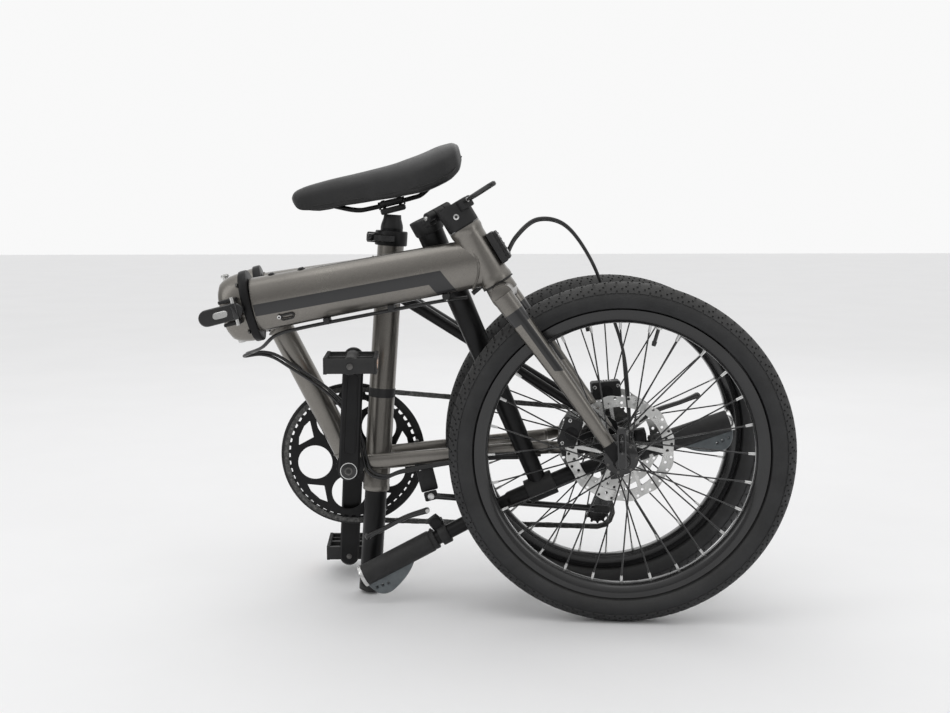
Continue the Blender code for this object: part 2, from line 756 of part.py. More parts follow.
def build_crankset(body):
    spindle = rod(BB - Y * (CRANK_Y - 0.001), BB + Y * (CRANK_Y - 0.001), SPINDLE_RADIUS)
    piece("bb_spindle", spindle, body, "steel")
    for side, word in ((-1, "left"), (1, "right")):
        arm_dir = CRANK_DIR * -side
        centre = BB + Y * side * CRANK_Y
        arm = plate(stadium(CRANK_LENGTH, CRANK_WIDTH), centre, Y, arm_dir, CRANK_THICKNESS)
        tip = centre + arm_dir * CRANK_LENGTH
        outward = Y * side * (CRANK_THICKNESS / 2 + PEDAL_LENGTH + 0.012)
        axle = rod(tip, tip + outward, PEDAL_AXLE_RADIUS, None, 12)
        piece(f"crank_{word}", arm, body, "black_alloy", add=[axle], cut=[spindle_bore()])

    centre = BB + Y * CHAINRING_Y
    half = Y * 0.0015
    root = CHAINRING_RADIUS - CHAIN_RADIUS - 0.0006
    ring = sleeve(centre - half, centre + half, root, root - 0.014, 36)
    arms = []
    for index in range(5):
        angle = math.tau * index / 5 + 0.35
        direction = Vector((math.cos(angle), 0, math.sin(angle)))
        start = centre + direction * 0.012
        end = centre + direction * (root - 0.006)
        size = (0.020, 0.004, (end - start).length)
        arms.append(block((start + end) / 2, size, direction, direction.cross(Y)))
    hub = sleeve(centre - Y * 0.004, centre + Y * 0.010, 0.022, SPINDLE_RADIUS + GAP, 24)
    piece("chainring", ring, body, "black_alloy", add=[hub, *arms], cut=[spindle_bore()])

    centre = BB + Y * (CHAINRING_Y + 0.0075)
    guard = sleeve(centre - half, centre + half, GUARD_RADIUS, GUARD_RADIUS - 0.0125, 36)
    piece("chain_guard", guard, body, "black_plastic")


def build_pedal(side, word, body):
    tip = body.pivot
    centre = tip + Y * side * (CRANK_THICKNESS / 2 + PEDAL_LENGTH / 2 + 0.006)
    rear_dir = across(TILT)
    cage = block(centre, (PEDAL_WIDTH, PEDAL_LENGTH, PEDAL_THICKNESS), UP_AT_REST, rear_dir)
    windows = []
    for k in (-1, 1):
        middle = centre + rear_dir * k * 0.023
        windows.append(block(middle, (0.022, PEDAL_LENGTH - 0.022, 0.05), UP_AT_REST, rear_dir))
    bore = rod(tip - Y * 0.2, tip + Y * 0.2, PEDAL_AXLE_RADIUS + RUNNING_GAP, None, 12)
    piece(f"pedal_{word}", cage, body, "black_plastic", cut=[*windows, bore])


def build_drive(rear, cage_body):
    """Chain, derailleur and its sprung cage."""
    guide = Vector((0.012, COG_Y, -0.070))
    tension = Vector((-0.036, COG_Y, -0.133))
    circles = [
        (BB_X, CHAINRING_Y, BB_Z, CHAINRING_RADIUS, 1),
        (0.0, COG_Y, 0.0, COG_RADIUS, 1),
        (guide.x, guide.y, guide.z, PULLEY_RADIUS, -1),
        (tension.x, tension.y, tension.z, PULLEY_RADIUS, 1),
    ]
    wire("chain", belt_path(circles, 0.012), CHAIN_RADIUS, rear, "steel", closed=True, resolution=1)

    hanger = Vector((0.010, REAR_DROPOUT_Y + 0.0135, -0.030))
    joint = guide + Y * 0.020
    link = block((hanger + joint) / 2, (0.020, 0.016, (joint - hanger).length + 0.014), joint - hanger, X)
    boss = rod(hanger - Y * 0.0075, hanger + Y * 0.008, 0.0095, None, 16)
    stays_space = block((0, REAR_DROPOUT_Y, -0.01), (0.2, 0.0106, 0.2))
    piece("rear_derailleur", boss, rear, "black_alloy", add=[link], cut=[stays_space])

    span = tension - guide
    inner = PULLEY_RADIUS - CHAIN_RADIUS - 0.0012
    plates = []
    for offset in (-0.0058, 0.0058):
        plates.append(plate(stadium(span.length, 0.026), guide + Y * offset, Y, span, 0.0014))
    pulleys = []
    for centre in (guide, tension):
        pulleys.append(disc(centre, inner, 0.0030, 20))
        pulleys.append(disc(centre, 0.0040, 0.0120, 10))
    add = [pulleys[1], plates[1], pulleys[0], pulleys[3], pulleys[2]]
    piece("derailleur_cage", plates[0], cage_body, "black_alloy", add=add)


def build_seatpost(body):
    bore = SEATPOST_RADIUS - SEATPOST_WALL
    tube = sleeve(along_seat(SEATPOST_FOOT), along_seat(SEATPOST_TOP), SEATPOST_RADIUS, bore)
    piece("seatpost", tube, body, "black_alloy")

    height = WHEEL_RADIUS + along_seat(SEATPOST_FOOT).dot(UP_AT_REST)
    dome = FOOT_DOME_RADIUS
    run = (height - dome) / SEAT_DIR.dot(UP_AT_REST)
    tip = run + dome
    profile = [(0, 0.020), (bore - GAP, 0.020), (bore - GAP, -GAP), (SEATPOST_RADIUS, -GAP)]
    steps = 5
    edge = math.asin(SEATPOST_RADIUS / dome)
    for step in range(steps + 1):
        angle = edge * (1 - step / steps)
        profile.append((dome * math.sin(angle), -run - dome * math.cos(angle)))
    profile[-1] = (0, -tip)
    piece("seatpost_foot", turned(profile, along_seat(SEATPOST_FOOT), SEAT_DIR, 24), body, "rubber")

    top = along_seat(SEATPOST_TOP)
    plug = rod(top - SEAT_DIR * 0.020, top + SEAT_DIR * 0.004, bore - GAP, None, 20)
    neck = rod(top + SEAT_DIR * GAP, top + SEAT_DIR * 0.020, SEATPOST_RADIUS, 0.0130, 20)
    head = top + SEAT_DIR * 0.030
    cradle = block(head + Z * 0.004, (0.040, 0.054, 0.020), Z, X)
    rails = []
    for k in (-1, 1):
        middle = head + Vector((0, k * RAIL_Y, 0.0075))
        rails.append(rod(middle - X * 0.05, middle + X * 0.05, 0.0045, None, 12))
    piece("saddle_clamp", plug, body, "black_alloy", add=[neck, cradle], cut=rails)
    build_saddle(body, head + Z * 0.0075)


def saddle_solid(origin, shrink, depth=None):
    """Sections along the saddle bridged into a closed form with a flat underside."""
    shape = bmesh.new()
    loops = []
    for station, half, drop, skirt in SADDLE_SECTIONS:
        x = SADDLE_NOSE + SADDLE_LENGTH * station + (0.5 - station) * shrink * 2
        half_width = max(half - shrink, 0.003)
        top = SADDLE_TOP - drop - shrink
        bottom = top - depth if depth else SADDLE_TOP - skirt
        middle = bottom + (top - bottom) * 0.45
        section = []
        for step in range(9):
            angle = math.pi * step / 8
            y = half_width * math.cos(angle)
            z = middle + (top - middle) * abs(math.sin(angle)) ** 0.7
            section.append(shape.verts.new(origin + Vector((x, y, z))))
        section.append(shape.verts.new(origin + Vector((x, -half_width * 0.93, bottom))))
        section.append(shape.verts.new(origin + Vector((x, half_width * 0.93, bottom))))
        loops.append([shape.edges.new((a, b)) for a, b in zip(section, section[1:] + section[:1])])
        if len(loops) in (1, len(SADDLE_SECTIONS)):
            shape.faces.new(section)
    for first, second in zip(loops, loops[1:]):
        bmesh.ops.bridge_loops(shape, edges=first + second)
    bmesh.ops.recalc_face_normals(shape, faces=shape.faces)
    return shape


def build_saddle(body, origin):
    cover = saddle_solid(origin, 0.0)
    hollow = saddle_solid(origin, SADDLE_PADDING, depth=SADDLE_DEPTH)
    piece("saddle_cover", cover, body, "saddle_cover", cut=[hollow])
    base = saddle_solid(origin, SADDLE_PADDING + SADDLE_SHELL_GAP, depth=SADDLE_DEPTH)
    below = block(origin + Z * (SADDLE_SHELL_UNDERSIDE - 0.2), (0.5, 0.5, 0.4))
    piece("saddle_shell", base, body, "black_plastic", cut=[below])
    y = RAIL_Y
    path = [
        Vector((0.092, y * 1.5, 0.031)),
        Vector((0.078, y * 1.35, 0.021)),
        Vector((0.050, y, 0.003)),
        Vector((0.030, y, 0.000)),
        Vector((-0.030, y, 0.000)),
        Vector((-0.055, y * 0.9, 0.003)),
        Vector((-0.088, y * 0.40, 0.018)),
        Vector((-0.104, y * 0.14, 0.024)),
    ]
    mirrored = [Vector((p.x, -p.y, p.z)) for p in reversed(path)]
    points = [origin + p for p in smooth_path(path + mirrored, 0.013)]
    wire("saddle_rails", points, 0.0035, body, "steel", resolution=1)


def build_front_frame(front):
    """The front half of the frame and its half of the hinge."""
    head_space = rod(along_head(-0.05), along_head(0.2), HEAD_TUBE_RADIUS + GAP, None, 24)
    bosses = []
    for x in (-0.578, -0.622):
        bosses.append(rod((x, 0, HINGE_Z + 0.030), (x, 0, HINGE_Z + 0.0425), 0.006, None, 12))
    cut = [casting_space(-1), head_space]
    piece("front_main_tube", main_tube(-1), front, "frame_paint", add=bosses, cut=cut)

    start = HEAD_TUBE_START
    head = sleeve(along_head(start), along_head(start + HEAD_TUBE_LENGTH), HEAD_TUBE_RADIUS, HEAD_TUBE_BORE)
    piece("head_tube", head, front, "frame_paint")

    dome, flange = hinge_casting(-1)
    barrel, web = knuckle(-1, -KNUCKLE_HALF, KNUCKLE_HALF)
    slot = block((HINGE_X - 0.012, FACE_WIDTH / 2 + 0.012, HINGE_Z), (0.048, 0.030, 0.028))
    cut = [pin_bore(PIN_RADIUS + GAP), slot]
    piece("front_hinge_casting", dome, front, "frame_paint", add=[flange, barrel, web], cut=cut)

    centre = along_head(0.060) - across(HEAD_LEAN) * (HEAD_TUBE_RADIUS + 0.004)
    mount = block(centre, (0.020, 0.034, 0.048), HEAD_DIR, across(HEAD_LEAN))
    head_space = rod(along_head(-0.05), along_head(0.2), HEAD_TUBE_RADIUS + GAP, None, 24)
    piece("luggage_block", mount, front, "black_plastic", cut=[head_space])


def build_frame_latch(body):
    pivot = body.pivot
    reach = X + Y * 0.22
    arm = plate(stadium(0.040, 0.024), pivot, Y - X * 0.22, reach, 0.007)
    boss = rod(pivot - Z * 0.0115, pivot + Z * 0.0115, 0.0055, None, 12)
    piece("frame_latch_lever", arm, body, "black_alloy", add=[boss])


def build_fork(fork):
    crown_y = BLADE_Y + 0.002
    crown = rod(HEAD_FOOT - Y * crown_y, HEAD_FOOT + Y * crown_y, CROWN_RADIUS, None, 20)
    add = [rod(HEAD_FOOT, along_head(POST_HINGE_LEVEL - 0.006), STEERER_RADIUS, None, 24)]
    for side in (-1, 1):
        y = side * (FRONT_DROPOUT_Y + DROPOUT_THICKNESS / 2)
        foot = Vector((FRONT_AXLE_X + 0.012, y, 0.030))
        add.append(rod(HEAD_FOOT + Y * side * BLADE_Y, foot, BLADE_TOP_RADIUS, BLADE_FOOT_RADIUS, 20))
        outline = [(-0.010, 0.000), (-0.007, -0.008), (0.007, -0.008), (0.011, 0.0)]
        outline += [(0.026, 0.040), (0.010, 0.046)]
        add.append(plate([(a, -b) for a, b in outline], FRONT_AXLE + Y * y, Y, X, DROPOUT_THICKNESS))
    cut = [rod(FRONT_AXLE - Y * 0.1, FRONT_AXLE + Y * 0.1, AXLE_RADIUS + GAP)]
    piece("fork", crown, fork, "black_alloy", add=add, cut=cut)

    reach = FRONT_DROPOUT_Y + DROPOUT_THICKNESS
    axle = rod(FRONT_AXLE - Y * (reach + 0.006), FRONT_AXLE + Y * (reach + 0.0065), AXLE_RADIUS)
    nut = disc(FRONT_AXLE - Y * (reach + 0.005), 0.0068, 0.0090, 12)
    cam = disc(FRONT_AXLE + Y * (reach + 0.0036), 0.0090, 0.0064, 12)
    piece("front_axle", axle, fork, "steel", add=[nut, cam])

    build_caliper("front_brake_caliper", FRONT_AXLE, FRONT_ROTOR_Y + 0.0005, Vector((0.84, 0, 0.5426)), fork)

    start = HEAD_TUBE_START + HEAD_TUBE_LENGTH + 0.001
    base = rod(along_head(start), along_head(POST_HINGE_LEVEL - 0.0015), 0.0235, None, 24)
    knuckle_half = POST_AXIS * 0.009
    barrel = rod(POST_PIN - knuckle_half, POST_PIN + knuckle_half, 0.0072)
    middle = POST_PIN + POST_INWARD * 0.007 - POST_UP * 0.0070
    web = block(middle, (0.016, 0.018, 0.0120), POST_UP, POST_INWARD)
    pin = rod(POST_PIN - POST_AXIS * 0.027, POST_PIN + POST_AXIS * 0.027, 0.0030, None, 12)
    middle = POST_LEVEL + POST_INWARD * 0.026 - POST_UP * 0.010
    lug = block(middle, (0.016, 0.020, 0.016), POST_UP, POST_INWARD)
    inside = rod(along_head(0), along_head(0.3), STEERER_RADIUS + GAP, None, 24)
    piece("handlepost_base", base, fork, "black_alloy", add=[barrel, web, pin, lug], cut=[inside])


def build_front_lever(body):
    """The quick release lever, closed upwards along the fork."""
    pivot = body.pivot
    reach = Vector((-0.20, 0, 0.98))
    blade = plate(stadium(0.048, 0.012), pivot, Y, reach, 0.006)
    piece("front_qr_lever", blade, body, "black_alloy")


def build_post_latch(body):
    pivot = body.pivot
    arm = plate(stadium(0.046, 0.016), pivot, POST_UP, POST_INWARD, 0.007)
    piece("handlepost_latch_lever", arm, body, "black_alloy")


def bar_point(y):
    """A point on the handlebar, which sweeps up gently towards its ends."""
    share = max(0.0, (abs(y) - 0.05) / (BAR_HALF - 0.05))
    return BAR_CENTRE + Y * y + HEAD_DIR * BAR_RISE * share


def build_handlepost(post):
    start = POST_LEVEL + HEAD_DIR * 0.0015
    collar = rod(start, start + HEAD_DIR * 0.022, 0.0235, 0.0215, 24)
    tube = rod(start + HEAD_DIR * 0.010, BAR_CENTRE, POST_FOOT_RADIUS, POST_HEAD_RADIUS, 24)
    clamp = rod(BAR_CENTRE - Y * 0.022, BAR_CENTRE + Y * 0.022, BAR_RADIUS + 0.0055, None, 24)
    add = [tube, clamp]
    for k in (-1, 1):
        centre = POST_PIN + POST_AXIS * k * 0.0165
        add.append(rod(centre - POST_AXIS * 0.0068, centre + POST_AXIS * 0.0068, 0.0072))
        middle = centre + POST_INWARD * 0.007 + POST_UP * 0.0070
        add.append(block(middle, (0.016, 0.0136, 0.0120), POST_UP, POST_INWARD))
    bore = rod(POST_PIN - POST_AXIS * 0.05, POST_PIN + POST_AXIS * 0.05, 0.0030 + GAP, None, 12)
    bar_space = rod(BAR_CENTRE - Y * 0.05, BAR_CENTRE + Y * 0.05, BAR_RADIUS + GAP, None, 24)
    piece("handlepost", collar, post, "black_alloy", add=add, cut=[bore, bar_space])

    middle = rod(bar_point(-0.05), bar_point(0.05), BAR_RADIUS, None, 20)
    arms = [rod(bar_point(k * 0.047), bar_point(k * BAR_HALF), GRIP_BAR_RADIUS, None, 16) for k in (-1, 1)]
    piece("handlebar", middle, post, "black_alloy", add=arms)

    for side, word in ((-1, "left"), (1, "right")):
        tip = bar_point(side * BAR_HALF)
        out = (tip - bar_point(side * 0.1)).normalized()
        inner = tip - out * (GRIP_LENGTH - 0.003)
        end = tip + out * 0.003
        grip = rod(inner, end, GRIP_RADIUS, None, 20)
        # Drawn outwards along the bar; both wings stand up towards the top of the handlepost.
        outline = [(along, out_of_bar * side) for along, out_of_bar in GRIP_WING]
        wing = plate(outline, end - out * 0.088, across(HEAD_LEAN), out, 0.012)
        bore = rod(inner - out * 0.01, tip + out * 0.0004, GRIP_BAR_RADIUS + GAP)
        piece(f"grip_{word}", grip, post, "rubber", add=[wing], cut=[bore])

        spot = tip - out * 0.139
        clamp = rod(spot - out * 0.007, spot + out * 0.007, GRIP_BAR_RADIUS + 0.0045, None, 20)
        pivot = BRAKE_PIVOTS[word]
        size = (0.020, 0.012, (spot - pivot).length - 0.008)
        arm = block((spot + pivot) / 2 - HEAD_DIR * 0.002, size, spot - pivot, out)
        inside = rod(spot - out * 0.03, spot + out * 0.03, GRIP_BAR_RADIUS + GAP, None, 20)
        piece(f"brake_perch_{word}", clamp, post, "black_alloy", add=[arm], cut=[inside])


def lever_pivot(side):
    tip = bar_point(side * BAR_HALF)
    out = (tip - bar_point(side * 0.1)).normalized()
    return tip - out * 0.130 - HEAD_DIR * 0.038


BRAKE_PIVOTS = {"left": lever_pivot(-1), "right": lever_pivot(1)}


def build_brake_lever(side, word, body):
    tip = bar_point(side * BAR_HALF)
    out = (tip - bar_point(side * 0.1)).normalized()
    pivot = body.pivot
    start = pivot - HEAD_DIR * 0.007
    bend = start + out * 0.070 - HEAD_DIR * 0.006
    end = bend + out * 0.028 - HEAD_DIR * 0.001
    points = smooth_path([start, (start + bend) / 2 - HEAD_DIR * 0.003, bend, end], 0.008)
    wire(f"brake_lever_{word}", points, 0.0050, body, "black_alloy")


def fold_in(body, points):
    """Points of a folded body, as ridden, among the pieces of the body that carries it."""
    return [body.in_parent(point) for point in points]


def build_cables(rear, front, post):
    """The control cables, in two runs: bars to frame, and frame to the rear wheel."""
    to_fork = fold_in(post, [BRAKE_PIVOTS["left"] + Vector((0.010, 0.020, 0.016))])
    run = [
        *to_fork,
        Vector((-1.040, -0.070, 0.120)),
        Vector((-1.036, -0.068, 0.200)),
        Vector((-1.026, -0.066, 0.275)),
        Vector((-1.002, -0.062, 0.333)),
        Vector((-0.965, -0.050, 0.352)),
        Vector((-0.930, -0.036, 0.336)),
        Vector((-0.905, -0.030, 0.308)),
        Vector((-0.880, -0.029, 0.288)),
        Vector((-0.850, -0.027, 0.272)),
    ]
    wire("bar_cables", smooth_path(run, 0.020), CABLE_RADIUS, front, "rubber", resolution=1)

    under = [
        Vector((-0.842, -0.020, 0.2690)),
        Vector((-0.800, -0.006, 0.2745)),
        Vector((-0.700, 0.000, 0.2800)),
        Vector((-0.600, 0.000, 0.2840)),
        Vector((-0.560, -0.004, 0.2820)),
        Vector((-0.530, -0.022, 0.2680)),
    ]
    back = [
        Vector((-0.500, -0.040, 0.2600)),
        Vector((-0.478, -0.032, 0.2560)),
        Vector((-0.460, -0.027, 0.2460)),
        Vector((-0.440, -0.0255, 0.2250)),
        Vector((-0.400, -0.0265, 0.1800)),
        Vector((-0.377, -0.030, 0.1400)),
        Vector((-0.367, -0.036, 0.090)),
        Vector((-0.366, -0.040, 0.045)),
        Vector((-0.345, -0.042, 0.028)),
        Vector((-0.310, -0.044, 0.030)),
        Vector((-0.200, -0.052, 0.022)),
        Vector((-0.110, -0.058, 0.004)),
    ]
    points = fold_in(front, under) + back
    wire("frame_cables", smooth_path(points, 0.022), CABLE_RADIUS, rear, "rubber", resolution=1)


def centre_over_floor(stand):
    """Slides the whole bicycle so that its box stands centred over the origin."""
    bpy.context.view_layer.update()
    graph = bpy.context.evaluated_depsgraph_get()
    points = []
    for obj in bpy.data.objects:
        if obj.type == "EMPTY" or obj.hide_render:
            continue
        evaluated = obj.evaluated_get(graph)
        mesh = evaluated.to_mesh()
        points += [obj.matrix_world @ vertex.co for vertex in mesh.vertices]
        evaluated.to_mesh_clear()
    low = [min(point[axis] for point in points) for axis in range(3)]
    high = [max(point[axis] for point in points) for axis in range(3)]
    shift = Vector(((low[0] + high[0]) / 2, (low[1] + high[1]) / 2, low[2]))
    stand.matrix_local = Matrix.Translation(-shift) @ stand.matrix_local


def main():
    clear_scene()
    FINISH.update(make_materials())

    rear = Body("rear_frame_stand", REAR_AXLE)
    rear.empty.matrix_local = Matrix.Translation((0, 0, WHEEL_RADIUS)) @ Matrix.Rotation(-TILT, 4, Y)
    BODIES["rear"] = rear
    front = Body("frame_hinge_axis", FRAME_PIN, rear, Z, math.pi - FOLD_REMAINDER)
    BODIES["front"] = front
    fork = Body("steering_axis", HEAD_FOOT, front, HEAD_DIR)
    BODIES["fork"] = fork
    post = Body("handlepost_hinge_axis", POST_PIN, fork, POST_AXIS, -POST_FOLD)
    BODIES["post"] = post

    build_rear_frame(rear)
    kickstand = Body("kickstand_axis", (-0.284, -0.0455, -0.017), rear, Y)
    BODIES["kickstand"] = kickstand
    build_kickstand(kickstand)
    lever_spot = along_seat(SEAT_TUBE_TOP - 0.005) - across(SEAT_LEAN) * 0.031 - Y * 0.0155
    seat_lever = Body("seat_lever_axis", lever_spot, rear, SEAT_DIR)
    BODIES["seat_lever"] = seat_lever
    build_seat_lever(seat_lever)
    rear_wheel = Body("rear_wheel_axis", REAR_AXLE, rear, Y)
    BODIES["rear_wheel"] = rear_wheel
    build_wheel("rear", REAR_AXLE, rear_wheel, REAR_ROTOR_Y, REAR_HUB_HALF, -0.032, 0.022, 0.0165)
    cassette = Body("cassette_axis", REAR_AXLE, rear, Y)
    BODIES["cassette"] = cassette
    build_cassette(cassette)
    crank = Body("bottom_bracket_axis", BB, rear, Y)
    BODIES["crank"] = crank
    build_crankset(crank)
    for side, word in ((-1, "left"), (1, "right")):
        tip = BB + Y * side * CRANK_Y + CRANK_DIR * -side * CRANK_LENGTH
        pedal = Body(f"pedal_axis_{word}", tip, crank, Y)
        BODIES[f"pedal_{word}"] = pedal
        build_pedal(side, word, pedal)
    cage = Body("derailleur_cage_axis", (0.012, COG_Y, -0.070), rear, Y)
    BODIES["cage"] = cage
    build_drive(rear, cage)
    seatpost = Body("seatpost_slide", SEAT_FOOT, rear, SEAT_DIR)
    BODIES["seatpost"] = seatpost
    build_seatpost(seatpost)

    build_front_frame(front)
    latch = Body("frame_latch_axis", (HINGE_X - 0.026, 0.0385, HINGE_Z), front, Z)
    BODIES["latch"] = latch
    build_frame_latch(latch)
    build_fork(fork)
    front_wheel = Body("front_wheel_axis", FRONT_AXLE, fork, Y)
    BODIES["front_wheel"] = front_wheel
    build_wheel("front", FRONT_AXLE, front_wheel, FRONT_ROTOR_Y, FRONT_HUB_HALF, -0.024, 0.024, 0.0130)
    lever_spot = FRONT_AXLE + Y * (FRONT_DROPOUT_Y + DROPOUT_THICKNESS + 0.0145)
    front_lever = Body("front_qr_axis", lever_spot, fork, X)
    BODIES["front_lever"] = front_lever
    build_front_lever(front_lever)
    lever_spot = POST_LEVEL + POST_INWARD * 0.0435 - POST_UP * 0.008
    post_latch = Body("handlepost_latch_axis", lever_spot, fork, POST_AXIS)
    BODIES["post_latch"] = post_latch
    build_post_latch(post_latch)
    build_handlepost(post)
    for side, word in ((-1, "left"), (1, "right")):
        lever = Body(f"brake_lever_axis_{word}", BRAKE_PIVOTS[word], post, X)
        BODIES[f"lever_{word}"] = lever
        build_brake_lever(side, word, lever)
    build_cables(rear, front, post)
    centre_over_floor(rear.empty)


FINISH = {}
BODIES = {}
main()
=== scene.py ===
"""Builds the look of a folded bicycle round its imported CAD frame, one operator for each group of pieces."""

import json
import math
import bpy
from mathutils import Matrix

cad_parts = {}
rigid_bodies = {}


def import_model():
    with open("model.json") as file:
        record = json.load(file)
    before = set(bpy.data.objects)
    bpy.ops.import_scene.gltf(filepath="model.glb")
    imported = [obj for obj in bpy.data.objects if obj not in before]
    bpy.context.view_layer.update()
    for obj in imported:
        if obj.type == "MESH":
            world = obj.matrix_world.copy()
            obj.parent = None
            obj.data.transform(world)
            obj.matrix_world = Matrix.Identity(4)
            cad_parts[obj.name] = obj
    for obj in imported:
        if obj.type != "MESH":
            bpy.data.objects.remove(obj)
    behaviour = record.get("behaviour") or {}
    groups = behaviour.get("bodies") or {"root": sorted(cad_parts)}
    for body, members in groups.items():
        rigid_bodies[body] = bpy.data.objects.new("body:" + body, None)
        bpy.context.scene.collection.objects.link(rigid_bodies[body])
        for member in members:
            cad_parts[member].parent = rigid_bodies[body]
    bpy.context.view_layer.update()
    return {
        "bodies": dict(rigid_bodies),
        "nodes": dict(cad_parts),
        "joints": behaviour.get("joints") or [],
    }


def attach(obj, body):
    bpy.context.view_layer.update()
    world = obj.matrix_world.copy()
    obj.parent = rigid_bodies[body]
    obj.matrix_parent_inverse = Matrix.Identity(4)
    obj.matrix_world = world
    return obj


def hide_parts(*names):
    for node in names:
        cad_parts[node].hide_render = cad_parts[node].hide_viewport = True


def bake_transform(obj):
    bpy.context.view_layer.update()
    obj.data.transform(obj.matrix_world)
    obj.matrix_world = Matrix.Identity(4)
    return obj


bl_info = {
    "name": "Folded Bicycle",
    "version": (1, 0, 0),
    "blender": (4, 5, 0),
    "location": "View3D > Sidebar > Bicycle",
    "description": "Builds a folded bicycle with its paint, rubber, chain and cables",
    "category": "Object",
}

import bmesh
import bpy
from mathutils import Matrix, Vector

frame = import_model()
JOINTS = {joint["name"]: joint for joint in frame["joints"]}
NODES = frame["nodes"]

X = Vector((1, 0, 0))
Y = Vector((0, 1, 0))
Z = Vector((0, 0, 1))

# Every piece is drawn as the bicycle is ridden: rear axle at the origin, x rearwards, y to the
# rider's right, z up. The three places below fold it.
TILT = math.radians(14.0)
FOLD = math.pi - math.radians(7.0)
HEAD_LEAN = math.radians(17.5)
SEAT_LEAN = math.radians(17.9)
POST_FOLD = math.radians(170.9)
HEAD_DIR = Vector((math.sin(HEAD_LEAN), 0, math.cos(HEAD_LEAN)))
HEAD_BACK = Vector((math.cos(HEAD_LEAN), 0, -math.sin(HEAD_LEAN)))
SEAT_DIR = Vector((math.sin(SEAT_LEAN), 0, math.cos(SEAT_LEAN)))
SEAT_BACK = Vector((math.cos(SEAT_LEAN), 0, -math.sin(SEAT_LEAN)))
CRANK_UP = Vector((math.sin(TILT), 0, math.cos(TILT)))
LEVEL = Vector((math.cos(TILT), 0, -math.sin(TILT)))
REAR_AXLE = Vector((0, 0, 0))
FRAME_PIN = Vector((-0.497, -0.050, 0.332))
HINGE = Vector((-0.497, 0, 0.332))
FRONT_AXLE = Vector((-1.0038716, 0, 0))
HEAD_FOOT = FRONT_AXLE + Vector((0.107, 0, 0.265))
BB = Vector((-0.392, 0, 0.057))
SEAT_FOOT = BB + SEAT_BACK * 0.0407
POST_LEVEL = HEAD_FOOT + HEAD_DIR * 0.146
POST_AXIS = Vector((-0.6467817, -0.7414197, 0.1788022))
POST_INWARD = POST_AXIS.cross(HEAD_DIR).normalized()
POST_UP = POST_INWARD.cross(POST_AXIS).normalized()
POST_PIN = POST_LEVEL - POST_INWARD * 0.032
BAR_CENTRE = POST_LEVEL + HEAD_DIR * 0.440
BAR_HALF = 0.300
WHEEL_RADIUS = 0.248
SEATPOST_TOP = 0.3625
CRANK_LEAN = math.radians(3.0)
CRANK_LINE = Vector((math.sin(TILT + CRANK_LEAN), 0, math.cos(TILT + CRANK_LEAN)))


def turned_about(point, angle, axis):
    return Matrix.Translation(point) @ Matrix.Rotation(angle, 4, axis) @ Matrix.Translation(-point)


AXLE_AT_REST = Vector(JOINTS["rear_wheel_spin"]["pos_m"])
REAR = Matrix.Translation(AXLE_AT_REST) @ Matrix.Rotation(-TILT, 4, Y)
FRONT = REAR @ turned_about(FRAME_PIN, FOLD, Z)
POST = FRONT @ turned_about(POST_PIN, -POST_FOLD, POST_AXIS)
FRONT_BODIES = (
    "front_frame frame_latch_lever fork_assembly front_wheel front_qr_lever handlepost_latch_lever"
).split()
POST_BODIES = "handlepost_assembly brake_lever_left brake_lever_right".split()
PLACES = {body: FRONT if body in FRONT_BODIES else POST if body in POST_BODIES else REAR
          for body in frame["bodies"]}


def along_head(distance):
    return HEAD_FOOT + HEAD_DIR * distance


def along_seat(distance):
    return SEAT_FOOT + SEAT_DIR * distance


# ---------------------------------------------------------------- shaping


def facing(origin, along, side=None):
    """A placement whose z runs along the direction given, and whose x runs as near to side as it can."""
    z = Vector(along).normalized()
    x = Vector(side) if side is not None else (Y if abs(z.y) < 0.9 else X)
    x = (x - z * x.dot(z)).normalized()
    place = Matrix((x, z.cross(x), z)).transposed().to_4x4()
    place.translation = Vector(origin)
    return place


def block(centre, size, along=Z, side=X, round_by=0.001, segments=2):
    """A box with its edges rounded."""
    shape = bmesh.new()
    bmesh.ops.create_cube(shape, size=1.0)
    bmesh.ops.scale(shape, vec=Vector(size), verts=shape.verts)
    if round_by:
        bmesh.ops.bevel(shape, geom=shape.edges[:], offset=min(round_by, min(size) * 0.45), segments=segments,
                        profile=0.5, material=-1, affect="EDGES")
    shape.transform(facing(centre, along, side))
    return shape


def rod(start, end, radius, end_radius=None, segments=32, round_by=0.0):
    """A round bar or cone, with its rims rounded."""
    start, end = Vector(start), Vector(end)
    shape = bmesh.new()
    bmesh.ops.create_cone(shape, cap_ends=True, segments=segments, radius1=radius,
                          radius2=radius if end_radius is None else end_radius, depth=(end - start).length)
    if round_by:
        rims = [edge for edge in shape.edges if any(len(face.verts) > 4 for face in edge.link_faces)]
        bmesh.ops.bevel(shape, geom=rims, offset=round_by, segments=2, profile=0.5, material=-1, affect="EDGES")
    shape.transform(facing((start + end) / 2, end - start))
    return shape


def lathe(profile, origin, along=Y, steps=64, closed=False):
    """A profile of (radius, height) turned about an axis."""
    shape = bmesh.new()
    verts = [shape.verts.new((radius, 0, height)) for radius, height in profile]
    pairs = list(zip(verts, verts[1:])) + ([(verts[-1], verts[0])] if closed else [])
    edges = [shape.edges.new(pair) for pair in pairs]
    bmesh.ops.spin(shape, geom=verts + edges, cent=(0, 0, 0), axis=(0, 0, 1), angle=math.tau, steps=steps,
                   use_merge=True)
    bmesh.ops.remove_doubles(shape, verts=shape.verts, dist=1e-6)
    bmesh.ops.recalc_face_normals(shape, faces=shape.faces)
    shape.transform(facing(origin, along))
    return shape


